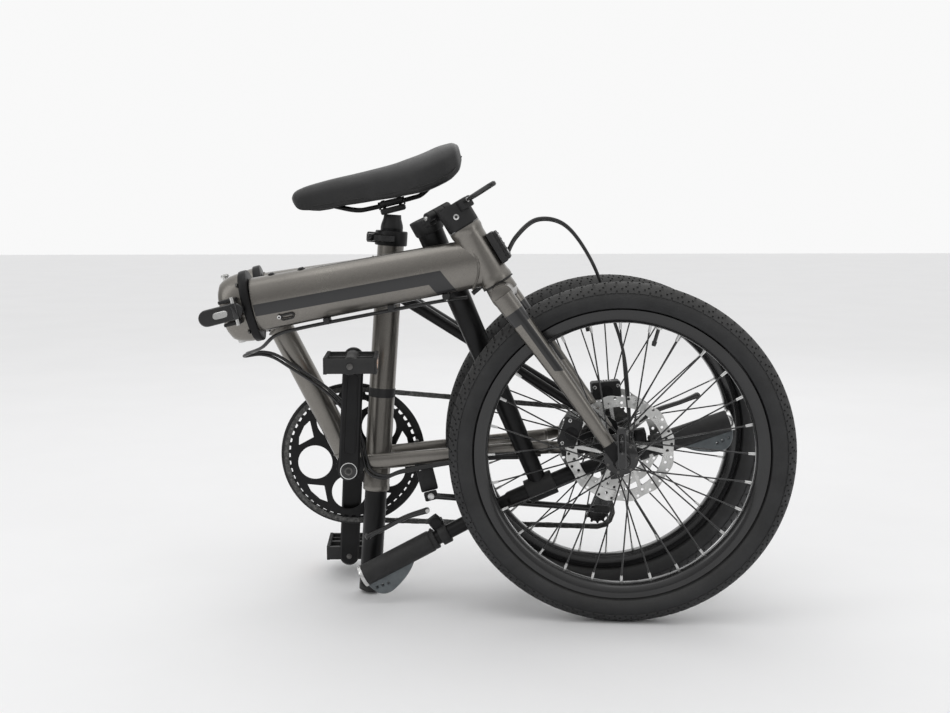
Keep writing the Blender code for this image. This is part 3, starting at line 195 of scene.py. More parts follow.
def ring_of(shape, centre, along, side, half_side, half_other, power, segments):
    """A loop of edges in the form of a rounded oval."""
    made = bmesh.ops.create_circle(shape, cap_ends=False, segments=segments, radius=1.0)
    place = facing(centre, along, side)
    for vert in made["verts"]:
        stretch = (abs(vert.co.x) ** power + abs(vert.co.y) ** power) ** (-1 / power)
        vert.co = place @ Vector((vert.co.x * half_side * stretch, vert.co.y * half_other * stretch, 0))
    return list({edge for vert in made["verts"] for edge in vert.link_edges})


def loft(rings, segments=32, power=2.0, side=Y):
    """A skin over ovals, each (centre, direction, half width along side, half height)."""
    shape = bmesh.new()
    loops = [ring_of(shape, Vector(c), d, side, a, b, power, segments) for c, d, a, b in rings]
    for first, second in zip(loops, loops[1:]):
        bmesh.ops.bridge_loops(shape, edges=first + second)
    for loop in (loops[0], loops[-1]):
        bmesh.ops.contextual_create(shape, geom=loop)
    bmesh.ops.recalc_face_normals(shape, faces=shape.faces)
    return shape


def smooth_path(points, count):
    """Evenly numbered points on a smooth curve through the ones given."""
    points = [Vector(p) for p in points]
    padded = [points[0] * 2 - points[1], *points, points[-1] * 2 - points[-2]]
    made = []
    for number in range(count):
        place = number / (count - 1) * (len(points) - 1)
        index = min(int(place), len(points) - 2)
        t = place - index
        a, b, c, d = padded[index:index + 4]
        made.append(b + (c - a) * (t / 2) + (a * 2 - b * 5 + c * 4 - d) * (t * t / 2)
                    + (b * 3 - a - c * 3 + d) * (t ** 3 / 2))
    return made


def pipe(points, radius, segments=12, end_radius=None, side=None):
    """A round tube along a path."""
    points = [Vector(p) for p in points]
    last = len(points) - 1
    rings = []
    for index, point in enumerate(points):
        along = points[min(index + 1, last)] - points[max(index - 1, 0)]
        here = radius + ((end_radius or radius) - radius) * index / last
        rings.append((point, along, here, here))
    mean = (points[-1] - points[0]).normalized()
    guide = side or (Y if abs(mean.y) < 0.8 else Z)
    return loft(rings, segments, side=guide)


def cutout(outlines, thickness, place, round_by=0.0003):
    """A flat plate with holes: the first outline is its edge, the rest are its holes."""
    curve = bpy.data.curves.new("cutout", "CURVE")
    curve.dimensions = "2D"
    curve.fill_mode = "BOTH"
    curve.extrude = max(thickness / 2 - round_by, 0.0001)
    curve.bevel_depth = round_by
    curve.bevel_resolution = 0
    curve.offset = -round_by
    for outline in outlines:
        spline = curve.splines.new("POLY")
        spline.points.add(len(outline) - 1)
        for target, (a, b) in zip(spline.points, outline):
            target.co = (a, b, 0, 1)
        spline.use_cyclic_u = True
    holder = bpy.data.objects.new("cutout", curve)
    bpy.context.scene.collection.objects.link(holder)
    shape = bmesh.new()
    mesh = bpy.data.meshes.new_from_object(holder.evaluated_get(bpy.context.evaluated_depsgraph_get()))
    shape.from_mesh(mesh)
    bpy.data.objects.remove(holder)
    bpy.data.curves.remove(curve)
    bpy.data.meshes.remove(mesh)
    bmesh.ops.remove_doubles(shape, verts=shape.verts, dist=1e-6)
    bmesh.ops.recalc_face_normals(shape, faces=shape.faces)
    shape.transform(place)
    return shape


def circle(radius, count=32, centre=(0, 0), phase=0.0):
    return [(centre[0] + radius * math.cos(math.tau * k / count + phase),
             centre[1] + radius * math.sin(math.tau * k / count + phase)) for k in range(count)]


def slot_outline(start, end, radius, steps=6, end_radius=None):
    """A stadium outline round two points, whose ends may differ."""
    (x1, y1), (x2, y2) = start, end
    heading = math.atan2(y2 - y1, x2 - x1)
    made = []
    for x, y, r, turn in ((x2, y2, end_radius or radius, -math.pi / 2), (x1, y1, radius, math.pi / 2)):
        for k in range(steps + 1):
            angle = heading + turn + math.pi * k / steps
            made.append((x + r * math.cos(angle), y + r * math.sin(angle)))
    return made


def across_bike(centre):
    """A placement for a plate that stands lengthwise: its x is x, its y is z."""
    return Matrix.Translation(centre) @ Matrix.Rotation(math.pi / 2, 4, X)


def bead(points, height, pitch=0.0035, segments=8):
    """A weld: a closed run of overlapping ripples."""
    points = [Vector(p) for p in points]
    length = sum((b - a).length for a, b in zip(points, points[1:] + points[:1]))
    count = max(24, int(length / pitch * 4))
    path = smooth_path([*points, points[0]], count)
    middle = sum(points, Vector()) / len(points)
    rings = []
    for index, point in enumerate(path):
        along = path[(index + 1) % (count - 1)] - path[index - 1 if index else count - 2]
        swell = height * (1 + 0.22 * math.sin(math.tau * index / 4))
        rings.append((point, along, swell, swell))
    shape = bmesh.new()
    loops = []
    for centre, along, a, b in rings[:-1]:
        loops.append(ring_of(shape, centre, along, centre - middle, a, b, 2.0, segments))
    for first, second in zip(loops, loops[1:] + loops[:1]):
        bmesh.ops.bridge_loops(shape, edges=first + second)
    bmesh.ops.recalc_face_normals(shape, faces=shape.faces)
    return shape


class Piece:
    """Shapes gathered into one named object, each with its own material."""

    def __init__(self, name, body):
        self.name = name
        self.body = body
        self.shape = bmesh.new()
        self.materials = []

    def add(self, part, material):
        if material not in self.materials:
            self.materials.append(material)
        index = self.materials.index(material)
        for face in part.faces:
            face.material_index = index
        mesh = bpy.data.meshes.new("part")
        part.to_mesh(mesh)
        part.free()
        self.shape.from_mesh(mesh)
        bpy.data.meshes.remove(mesh)
        return self

    def done(self, slot, replaces=(), sharp=38, drawing=None, blended=False):
        """Folds the piece into place, gives it its paints and, unless it is blended, its body, and hides the nodes that
        it stands for.
        """
        if drawing:
            layer = self.shape.loops.layers.uv.new("drawing")
            for face in self.shape.faces:
                for loop in face.loops:
                    loop[layer].uv = drawing(loop.vert.co)
        self.shape.transform(PLACES[self.body])
        mesh = bpy.data.meshes.new(self.name)
        self.shape.to_mesh(mesh)
        self.shape.free()
        for material in self.materials:
            mesh.materials.append(PAINTS[material])
        mesh.shade_smooth()
        mesh.set_sharp_from_angle(angle=math.radians(sharp))
        obj = bpy.data.objects.new(self.name, mesh)
        bpy.context.scene.collection.objects.link(obj)
        if not blended:
            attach(obj, self.body)
        if replaces:
            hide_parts(*replaces)
        return obj


# ---------------------------------------------------------------- paints

PAINTS = {}


def put(tree, kind, at=None, **inputs):
    """A node with its inputs set or linked; underscores in a name stand for spaces."""
    made = tree.nodes.new(kind)
    for key, value in (at or {}).items():
        setattr(made, key, value)
    for key, value in inputs.items():
        socket = made.inputs[int(key[1:])] if key[0] == "i" and key[1:].isdigit() else made.inputs[key.replace("_", " ")]
        if isinstance(value, bpy.types.NodeSocket):
            tree.links.new(value, socket)
        else:
            socket.default_value = value
    return made


def sum_of(tree, operation, first, second=0.0, third=0.0):
    return put(tree, "ShaderNodeMath", {"operation": operation}, i0=first, i1=second, i2=third).outputs[0]


def blended(tree, share, first, second):
    """A mix of two colours."""
    mix = put(tree, "ShaderNodeMix", {"data_type": "RGBA"})
    for index, value in ((0, share), (6, first), (7, second)):
        if isinstance(value, bpy.types.NodeSocket):
            tree.links.new(value, mix.inputs[index])
        else:
            mix.inputs[index].default_value = value
    return mix.outputs[2]


def new_group(name, inputs, outputs):
    tree = bpy.data.node_groups.new(name, "ShaderNodeTree")
    for label, kind, value in inputs:
        socket = tree.interface.new_socket(label, in_out="INPUT", socket_type=kind)
        if value is not None:
            socket.default_value = value
    for label, kind in outputs:
        tree.interface.new_socket(label, in_out="OUTPUT", socket_type=kind)
    return tree, tree.nodes.new("NodeGroupInput").outputs, tree.nodes.new("NodeGroupOutput").inputs


def make_groups():
    """The effects that several paints share: drifting tone, fine grain, dust and a flash of colour."""
    colour, number, vector = "NodeSocketColor", "NodeSocketFloat", "NodeSocketVector"
    tree, given, out = new_group("drifting_tone", [
        ("Place", vector, None), ("Colour", colour, (0.5, 0.5, 0.5, 1)), ("Other", colour, (0.4, 0.4, 0.4, 1)),
        ("Scale", number, 30.0), ("Rough low", number, 0.3), ("Rough high", number, 0.5),
        ("Dust", number, 0.0), ("Dust colour", colour, (0.35, 0.34, 0.32, 1)),
    ], [("Colour", colour), ("Roughness", number)])
    noise = put(tree, "ShaderNodeTexNoise", Vector=given["Place"], Scale=given["Scale"], Detail=4.0, Roughness=0.6)
    share = put(tree, "ShaderNodeMapRange", Value=noise.outputs["Fac"], From_Min=0.35, From_Max=0.65)
    tone = blended(tree, share.outputs["Result"], given["Colour"], given["Other"])
    speck = put(tree, "ShaderNodeTexNoise", Vector=given["Place"], Scale=420.0, Detail=3.0, Roughness=0.7)
    up = put(tree, "ShaderNodeSeparateXYZ", Vector=put(tree, "ShaderNodeNewGeometry").outputs["Normal"])
    settled = put(tree, "ShaderNodeMapRange", Value=up.outputs["Z"], From_Min=-0.2, From_Max=1.0)
    dusty = sum_of(tree, "MULTIPLY", settled.outputs["Result"], speck.outputs["Fac"])
    dusty = sum_of(tree, "MULTIPLY", dusty, given["Dust"])
    tree.links.new(blended(tree, dusty, tone, given["Dust colour"]), out["Colour"])
    rough = put(tree, "ShaderNodeMapRange", Value=noise.outputs["Fac"], From_Min=0.3, From_Max=0.7,
                To_Min=given["Rough low"], To_Max=given["Rough high"])
    tree.links.new(sum_of(tree, "ADD", rough.outputs["Result"], dusty), out["Roughness"])

    tree, given, out = new_group("fine_grain", [
        ("Place", vector, None), ("Scale", number, 900.0), ("Strength", number, 0.2), ("Cells", number, 0.0),
    ], [("Normal", vector)])
    noise = put(tree, "ShaderNodeTexNoise", Vector=given["Place"], Scale=given["Scale"], Detail=3.0)
    cells = put(tree, "ShaderNodeTexVoronoi", Vector=given["Place"], Scale=given["Scale"])
    lumps = sum_of(tree, "MULTIPLY", cells.outputs["Distance"], given["Cells"])
    height = sum_of(tree, "ADD", noise.outputs["Fac"], lumps)
    bump = put(tree, "ShaderNodeBump", Strength=given["Strength"], Distance=0.0004, Height=height)
    tree.links.new(bump.outputs["Normal"], out["Normal"])

    tree, given, out = new_group("metal_flake", [
        ("Place", vector, None), ("Colour", colour, (0.2, 0.2, 0.2, 1)), ("Bright", number, 1.5),
    ], [("Colour", colour)])
    cells = put(tree, "ShaderNodeTexVoronoi", Vector=given["Place"], Scale=2600.0)
    spark = put(tree, "ShaderNodeSeparateColor", Color=cells.outputs["Color"]).outputs["Red"]
    gain = put(tree, "ShaderNodeMapRange", Value=spark, To_Min=0.82, To_Max=given["Bright"])
    scaled = put(tree, "ShaderNodeVectorMath", {"operation": "SCALE"}, i0=given["Colour"])
    tree.links.new(gain.outputs["Result"], scaled.inputs["Scale"])
    tree.links.new(scaled.outputs["Vector"], out["Colour"])

    tree, given, out = new_group("painted_band", [
        ("Along", number, 0.0), ("Across", number, 0.0), ("Start", number, 0.0), ("End", number, 1.0),
        ("Upper", number, 0.0), ("Upper slope", number, 0.0), ("Lower", number, 0.0), ("Lower slope", number, 0.0),
        ("Slant", number, 0.0),
    ], [("Mask", number)])
    upper = sum_of(tree, "MULTIPLY_ADD", given["Along"], given["Upper slope"], given["Upper"])
    lower = sum_of(tree, "MULTIPLY_ADD", given["Along"], given["Lower slope"], given["Lower"])
    shifted = sum_of(tree, "MULTIPLY_ADD", given["Across"], given["Slant"], given["Along"])
    mask = 1.0
    for high, low in ((upper, given["Across"]), (given["Across"], lower), (given["End"], shifted),
                      (shifted, given["Start"])):
        gap = sum_of(tree, "SUBTRACT", high, low)
        edge = put(tree, "ShaderNodeMapRange", Value=gap, From_Min=-0.00015, From_Max=0.00015)
        mask = sum_of(tree, "MULTIPLY", edge.outputs["Result"], mask)
    tree.links.new(mask, out["Mask"])


def group_node(tree, name, **inputs):
    made = put(tree, "ShaderNodeGroup")
    made.node_tree = bpy.data.node_groups[name]
    for key, value in inputs.items():
        socket = made.inputs[key.replace("_", " ")]
        if isinstance(value, bpy.types.NodeSocket):
            tree.links.new(value, socket)
        else:
            socket.default_value = value
    return made.outputs


def rgb(red, green, blue):
    return (red, green, blue, 1.0)


def paint(name, colour, other=None, rough=(0.3, 0.45), metallic=0.0, scale=30.0, grain=900.0, bump=0.15,
          cells=0.0, dust=0.05, coat=0.0, flake=0.0, bands=(), band_colour=None, stretch=None, sheen=0.0):
    """One finish: drifting tone and roughness, fine grain, settled dust and painted bands."""
    material = bpy.data.materials.new(name)
    material.use_nodes = True
    tree = material.node_tree
    shader = tree.nodes["Principled BSDF"]
    place = put(tree, "ShaderNodeTexCoord").outputs["Object"]
    if stretch:
        place = put(tree, "ShaderNodeMapping", Vector=place, Scale=stretch).outputs["Vector"]
    darker = other or tuple(c * 0.72 for c in colour[:3]) + (1.0,)
    tone = group_node(tree, "drifting_tone", Place=place, Colour=colour, Other=darker, Scale=scale,
                      Rough_low=rough[0], Rough_high=rough[1], Dust=dust)
    shown = tone["Colour"]
    roughness = tone["Roughness"]
    if flake:
        shown = group_node(tree, "metal_flake", Place=place, Colour=shown, Bright=flake)["Colour"]
    if bands:
        drawing = put(tree, "ShaderNodeUVMap", {"uv_map": "drawing"}).outputs["UV"]
        parts = put(tree, "ShaderNodeSeparateXYZ", Vector=drawing)
        mask = 0.0
        for band in bands:
            cover = group_node(tree, "painted_band", Along=parts.outputs["X"], Across=parts.outputs["Y"], **band)
            mask = sum_of(tree, "MAXIMUM", cover["Mask"], mask)
        shown = blended(tree, mask, shown, band_colour)
        metal = put(tree, "ShaderNodeMapRange", Value=mask, To_Min=metallic, To_Max=0.0)
        tree.links.new(metal.outputs["Result"], shader.inputs["Metallic"])
    else:
        shader.inputs["Metallic"].default_value = metallic
    tree.links.new(shown, shader.inputs["Base Color"])
    tree.links.new(roughness, shader.inputs["Roughness"])
    if bump:
        normal = group_node(tree, "fine_grain", Place=place, Scale=grain, Strength=bump, Cells=cells)["Normal"]
        tree.links.new(normal, shader.inputs["Normal"])
    shader.inputs["Coat Weight"].default_value = coat
    shader.inputs["Coat Roughness"].default_value = 0.12
    shader.inputs["Sheen Weight"].default_value = sheen
    PAINTS[name] = material


BEAM_BANDS = (
    dict(Start=-0.808, End=-0.5445, Upper=0.3656, Upper_slope=0.0579, Lower=0.3490, Lower_slope=0.0586),
    dict(Start=-0.9577, End=-0.9301, Upper=0.3656, Upper_slope=0.0579, Lower=0.2845, Slant=-0.4375),
)
BLADE_BANDS = (
    dict(Start=0.026, End=0.046, Upper=0.0170, Lower=-0.0170),
    dict(Start=0.040, End=0.126, Upper=0.0005, Lower=-0.0100, Slant=0.6),
)


def make_paints(style):
    make_groups()
    bronze = (*style.frame_colour, 1.0)
    ink = (*style.stripe_colour, 1.0)
    black = (*style.black_colour, 1.0)
    frame_finish = dict(other=tuple(c * 0.86 for c in bronze[:3]) + (1.0,), rough=(0.26, 0.34), metallic=0.90,
                        scale=9.0, grain=1500.0, bump=0.03, dust=0.02, coat=0.35, flake=1.25)
    paint("bronze_paint", bronze, **frame_finish)
    paint("beam_paint", bronze, bands=BEAM_BANDS, band_colour=ink, **frame_finish)
    paint("blade_paint", bronze, bands=BLADE_BANDS, band_colour=ink, **frame_finish)
    paint("weld_paint", bronze, rough=(0.34, 0.5), metallic=0.8, scale=80.0, grain=1100.0, bump=0.12, coat=0.2)
    paint("black_anodised", black, rough=(0.30, 0.42), metallic=0.6, scale=18.0, grain=1600.0, bump=0.05, dust=0.05)
    paint("black_cast", black, rough=(0.42, 0.58), metallic=0.2, scale=40.0, grain=1300.0, bump=0.25, dust=0.10)
    paint("black_gloss", black, rough=(0.16, 0.26), metallic=0.2, scale=14.0, grain=1500.0, bump=0.02, coat=0.5)
    paint("moulded_black", rgb(0.0120, 0.0120, 0.0126), rough=(0.45, 0.6), scale=50.0, grain=1400.0, bump=0.35,
          cells=0.4, dust=0.12)
    paint("tyre_rubber", (*style.tyre_colour, 1.0), rgb(0.0105, 0.0108, 0.0115), rough=(0.55, 0.72), scale=22.0,
          grain=700.0, bump=0.30, dust=0.22)
    paint("grip_rubber", rgb(0.0110, 0.0110, 0.0116), rough=(0.5, 0.62), scale=60.0, grain=1000.0, bump=0.5, cells=0.8,
          dust=0.08)
    paint("grip_wing", (*style.wing_colour, 1.0), rough=(0.42, 0.52), scale=60.0, grain=900.0, bump=0.4, cells=0.8)
    paint("saddle_skin", rgb(0.0130, 0.0130, 0.0136), rgb(0.0095, 0.0095, 0.0100), rough=(0.44, 0.56), scale=24.0,
          grain=620.0, bump=0.35, cells=1.2, dust=0.06, sheen=0.06)
    paint("saddle_thread", rgb(0.024, 0.024, 0.024), rough=(0.6, 0.7), scale=90.0, grain=1200.0, bump=0.5)
    paint("brushed_steel", rgb(0.62, 0.62, 0.61), rgb(0.50, 0.50, 0.49), rough=(0.24, 0.36), metallic=1.0,
          scale=60.0, grain=900.0, bump=0.10, dust=0.02, stretch=(1, 6, 1))
    paint("bright_alloy", rgb(0.72, 0.72, 0.71), rgb(0.60, 0.60, 0.60), rough=(0.20, 0.32), metallic=1.0,
          scale=40.0, grain=1200.0, bump=0.05)
    paint("chain_steel", rgb(0.125, 0.125, 0.122), rgb(0.060, 0.060, 0.059), rough=(0.32, 0.5), metallic=0.9,
          scale=240.0, grain=1500.0, bump=0.15, dust=0.10)
    paint("dark_steel", rgb(0.16, 0.155, 0.15), rgb(0.09, 0.09, 0.088), rough=(0.30, 0.46), metallic=0.95,
          scale=120.0, grain=1300.0, bump=0.10, dust=0.06)
    paint("amber_lens", (*style.reflector_colour, 1.0), rgb(0.62, 0.20, 0.01), rough=(0.14, 0.22), scale=60.0,
          grain=500.0, bump=0.5, cells=2.0, coat=0.6)
    paint("cable_sleeve", rgb(0.0095, 0.0095, 0.0100), rough=(0.30, 0.42), scale=60.0, grain=1500.0, bump=0.12,
          dust=0.04, coat=0.2)
    paint("light_mark", rgb(0.55, 0.55, 0.53), rough=(0.4, 0.5), scale=60.0, grain=900.0, bump=0.05)


# ---------------------------------------------------------------- wheels


def turned_plan(angle):
    """A direction in the plane of the wheels."""
    return Vector((math.cos(angle), 0, math.sin(angle)))


def tyre_shape(style):
    """A casing of stepped sidewalls, with tread blocks raised between wavy slanting grooves."""
    steps = style.tread_pitches * 6
    section = 0.0224
    middle = WHEEL_RADIUS - 0.0235
    rows = 26
    profile = [(0.2112, -0.0116), (0.2142, -0.0146), (0.2146, -0.0160)]
    angles = [math.radians(-122 + 244 * row / rows) for row in range(rows + 1)]
    profile += [(middle + section * math.cos(a), section * math.sin(a)) for a in angles]
    profile += [(0.2146, 0.0160), (0.2142, 0.0146), (0.2112, 0.0116)]
    shape = lathe(profile, Vector(), Y, steps, closed=True)
    shape.faces.ensure_lookup_table()
    blocks = []
    for face in shape.faces:
        centre = face.calc_center_median()
        out = math.hypot(centre.x, centre.z)
        if out < 0.2150:
            continue
        around = math.atan2(centre.y, out - middle)
        lean = math.degrees(around)
        if abs(lean) > 66 or len(face.verts) != 4:
            continue
        step = int((math.atan2(centre.z, centre.x) % math.tau) / math.tau * steps)
        shift = int(round(abs(lean) / 8 + 1.6 * math.sin(math.radians(lean * 7)))) + (3 if lean > 0 else 0)
        if (step + shift) % 6:
            blocks.append(face)
    grown = bmesh.ops.extrude_face_region(shape, geom=blocks)
    for vert in grown["geom"]:
        if isinstance(vert, bmesh.types.BMVert):
            out = math.hypot(vert.co.x, vert.co.z)
            radial = Vector((vert.co.x / out, 0, vert.co.z / out))
            push = (radial * (out - middle) + Y * vert.co.y).normalized()
            vert.co += push * 0.0013
    bmesh.ops.delete(shape, geom=[f for f in blocks if f.is_valid], context="FACES_ONLY")
    bmesh.ops.recalc_face_normals(shape, faces=shape.faces)
    return shape


def rim_shape():
    half = [(0.1905, 0.0), (0.1905, 0.0052), (0.1925, 0.0092), (0.1975, 0.0132), (0.2035, 0.0146), (0.2075, 0.0147),
            (0.2098, 0.0150), (0.2105, 0.0143), (0.2105, 0.0126), (0.2092, 0.0122), (0.2040, 0.0120), (0.2034, 0.0)]
    profile = [(r, -h) for r, h in half[::-1][:-1]] + half
    return lathe(profile[:-1], Vector(), Y, 160, closed=True)


def polar(radius, angle):
    return radius * math.cos(angle), radius * math.sin(angle)


def rotor_shape(centre_y):
    """A waved disc on six thin leaning arms, with two staggered rows of holes."""
    turns = [math.tau * k / 240 for k in range(240)]
    outlines = [[polar(0.0787 + 0.0013 * math.cos(12 * turn), turn) for turn in turns], circle(0.0163, 40)]
    for index in range(6):
        base = math.tau * index / 6
        window = [polar(0.0240, base + 0.11 + 0.827 * k / 8) for k in range(9)]
        window += [polar(0.0625, base + 1.277 - 0.947 * k / 10) for k in range(11)]
        outlines.append(window)
    for index in range(24):
        for radius, share in ((0.0685, 0.0), (0.0750, 0.5)):
            outlines.append(circle(0.0022, 10, polar(radius, math.tau * (index + share) / 24)))
    return cutout(outlines, 0.0018, across_bike(Y * centre_y), 0.0002)


def spokes_of(piece, left, right, style):
    for index in range(28):
        angle = math.tau * index / 28
        outward = 1 if index % 4 < 2 else -1
        flange = (left if index % 2 else right) + 0.0012 * outward
        lead = angle + math.radians(38) * outward
        foot = turned_plan(lead) * 0.0210 + Y * flange
        head = turned_plan(angle) * 0.1835
        tip = turned_plan(angle) * 0.1915
        piece.add(rod(foot, head, style.spoke_radius, segments=8), "black_gloss")
        along = (head - foot).normalized()
        piece.add(rod(head - along * 0.003, tip, 0.0018, 0.0022, segments=8), "bright_alloy")
        piece.add(rod(foot - Y * 0.0022 * outward, foot + Y * 0.0016 * outward, 0.0021, segments=10), "dark_steel")


def build_wheel(which, axle, rotor_y, half, left, right, barrel, style):
    body = f"{which}_wheel"
    shift = Matrix.Translation(axle)

    def placed(shape):
        shape.transform(shift)
        return shape

    tyre = Piece(f"{which}_tread", body).add(placed(tyre_shape(style)), "tyre_rubber")
    tyre.done("tyre", [f"{which}_tyre"], sharp=30)

    rim = Piece(f"{which}_hoop", body).add(placed(rim_shape()), "black_gloss")
    up = turned_plan(math.radians(86 if which == "rear" else 119.4))
    rim.add(placed(rod(up * 0.1905, up * 0.1700, 0.0027, segments=16)), "black_gloss")
    rim.add(placed(rod(up * 0.1700, up * 0.1630, 0.0036, 0.0030, segments=16, round_by=0.0006)), "moulded_black")
    rim.add(placed(rod(up * 0.1903, up * 0.1880, 0.0050, segments=20)), "bright_alloy")
    rim.done("black_alloy", [f"{which}_rim"])

    hub = Piece(f"{which}_hub", body)
    profile = [
        (0.0052, -half), (0.0088, -half), (0.0094, -half + 0.001), (0.0110, -half + 0.006), (0.0158, rotor_y - 0.004),
        (0.0158, left - 0.004), (0.0238, left - 0.0019), (0.0245, left - 0.0012), (0.0245, left + 0.0012),
        (0.0238, left + 0.0019), (0.0150, left + 0.0042), (0.0128, left + 0.0080), (0.0120, (left + right) / 2),
        (0.0128, right - 0.0080), (0.0150, right - 0.0042), (0.0238, right - 0.0019), (0.0245, right - 0.0012),
        (0.0245, right + 0.0012), (0.0238, right + 0.0019), (barrel, right + 0.004), (barrel, half - 0.005),
        (0.0092, half - 0.001), (0.0088, half), (0.0052, half),
    ]
    hub.add(placed(lathe(profile, Vector(), Y, 64, closed=True)), "black_gloss")
    hub.add(placed(lathe([(0.0049, -half - 0.0006), (0.0076, -half - 0.0006), (0.0076, -half + 0.001),
                          (0.0049, -half + 0.001)], Vector(), Y, 32, closed=True)), "dark_steel")
    spokes_of_wheel = Piece("spokes", body)
    spokes_of(spokes_of_wheel, left, right, style)
    spokes_of_wheel.shape.transform(shift)
    hub_count = len(hub.materials)
    for name in spokes_of_wheel.materials:
        if name not in hub.materials:
            hub.materials.append(name)
    for face in spokes_of_wheel.shape.faces:
        face.material_index = hub.materials.index(spokes_of_wheel.materials[face.material_index])
    mesh = bpy.data.meshes.new("spokes")
    spokes_of_wheel.shape.to_mesh(mesh)
    spokes_of_wheel.shape.free()
    hub.shape.from_mesh(mesh)
    bpy.data.meshes.remove(mesh)
    hub.done("bright_alloy", [f"{which}_hub_and_spokes"])

    disc = Piece(f"{which}_brake_disc", body).add(placed(rotor_shape(rotor_y)), "brushed_steel")
    for index in range(6):
        spot = turned_plan(math.tau * index / 6 + 0.1) * 0.0205 + Y * (rotor_y - 0.0009)
        disc.add(placed(rod(spot + Y * 0.0005, spot - Y * 0.0020, 0.0024, segments=12, round_by=0.0004)), "dark_steel")
    disc.done("steel", [f"{which}_rotor"])


# ---------------------------------------------------------------- drive


def toothed(count, root, tip, phase=0.0):
    """The outline of a sprocket."""
    points = []
    for tooth in range(count):
        for share, radius in ((0.0, root), (0.22, root), (0.40, tip), (0.60, tip), (0.78, root)):
            angle = phase + math.tau * (tooth + share) / count
            points.append((radius * math.cos(angle), radius * math.sin(angle)))
    return points


def belt_path(circles, count):
    """Points at even spacing round the chain's circles, each (x, z, radius, turn, y)."""
    made = []
    for index, (x, z, radius, turn, y) in enumerate(circles):
        x2, z2, radius2, turn2, _ = circles[(index + 1) % len(circles)]
        span = Vector((x2 - x, z2 - z))
        heading = math.atan2(span.y, span.x)
        lean = math.asin((radius * turn - radius2 * turn2) / span.length)
        made.append(heading - lean + math.pi / 2)
    path = []
    for index, (x, z, radius, turn, y) in enumerate(circles):
        extra = 0 if turn > 0 else math.pi
        arrive, leave = made[index - 1] + extra, made[index] + extra
        sweep = (arrive - leave) % math.tau if turn > 0 else (leave - arrive) % math.tau
        for part in range(49):
            angle = arrive - turn * sweep * part / 48
            path.append(Vector((x + radius * math.cos(angle), y, z + radius * math.sin(angle))))
    path.append(path[0].copy())
    lengths = [(b - a).length for a, b in zip(path, path[1:])]
    total = sum(lengths)
    points, index, run = [], 0, 0.0
    for number in range(count):
        wanted = total * number / count
        while run + lengths[index] < wanted:
            run += lengths[index]
            index += 1
        points.append(path[index].lerp(path[index + 1], (wanted - run) / lengths[index]))
    return points


GUIDE = Vector((0.012, 0.0570, -0.070))
TENSION = Vector((-0.036, 0.0570, -0.133))


def build_chain():
    circles = [(BB.x, BB.z, 0.1052, 1, 0.050), (0.0, 0.0, 0.0285, 1, 0.057), (GUIDE.x, GUIDE.z, 0.0245, -1, 0.057),
               (TENSION.x, TENSION.z, 0.0245, 1, 0.057)]
    points = belt_path(circles, 112)
    chain = Piece("chain_links", "rear_frame")
    for index, point in enumerate(points):
        following = points[(index + 1) % len(points)]
        along = following - point
        pitch = along.length
        outline = slot_outline((0, 0), (pitch, 0), 0.0036, 4)
        waist = [(a, b * 0.62) if abs(a - pitch / 2) < pitch * 0.30 else (a, b) for a, b in outline]
        gap = 0.0031 if index % 2 else 0.0019
        side = facing(point, Y, along)
        for offset in (-gap, gap):
            plate = bmesh.new()
            verts = [plate.verts.new((a, b, offset - 0.0004)) for a, b in waist]
            face = plate.faces.new(verts)
            grown = bmesh.ops.extrude_face_region(plate, geom=[face])
            moved = [item for item in grown["geom"] if isinstance(item, bmesh.types.BMVert)]
            bmesh.ops.translate(plate, vec=(0, 0, 0.0008), verts=moved)
            bmesh.ops.recalc_face_normals(plate, faces=plate.faces)
            plate.transform(side)
            chain.add(plate, "chain_steel")
        chain.add(rod(point - Y * 0.0036, point + Y * 0.0036, 0.0019, segments=8), "dark_steel")
        chain.add(rod(point - Y * 0.0013, point + Y * 0.0013, 0.0034, segments=10), "chain_steel")
    chain.done("steel", ["chain"])


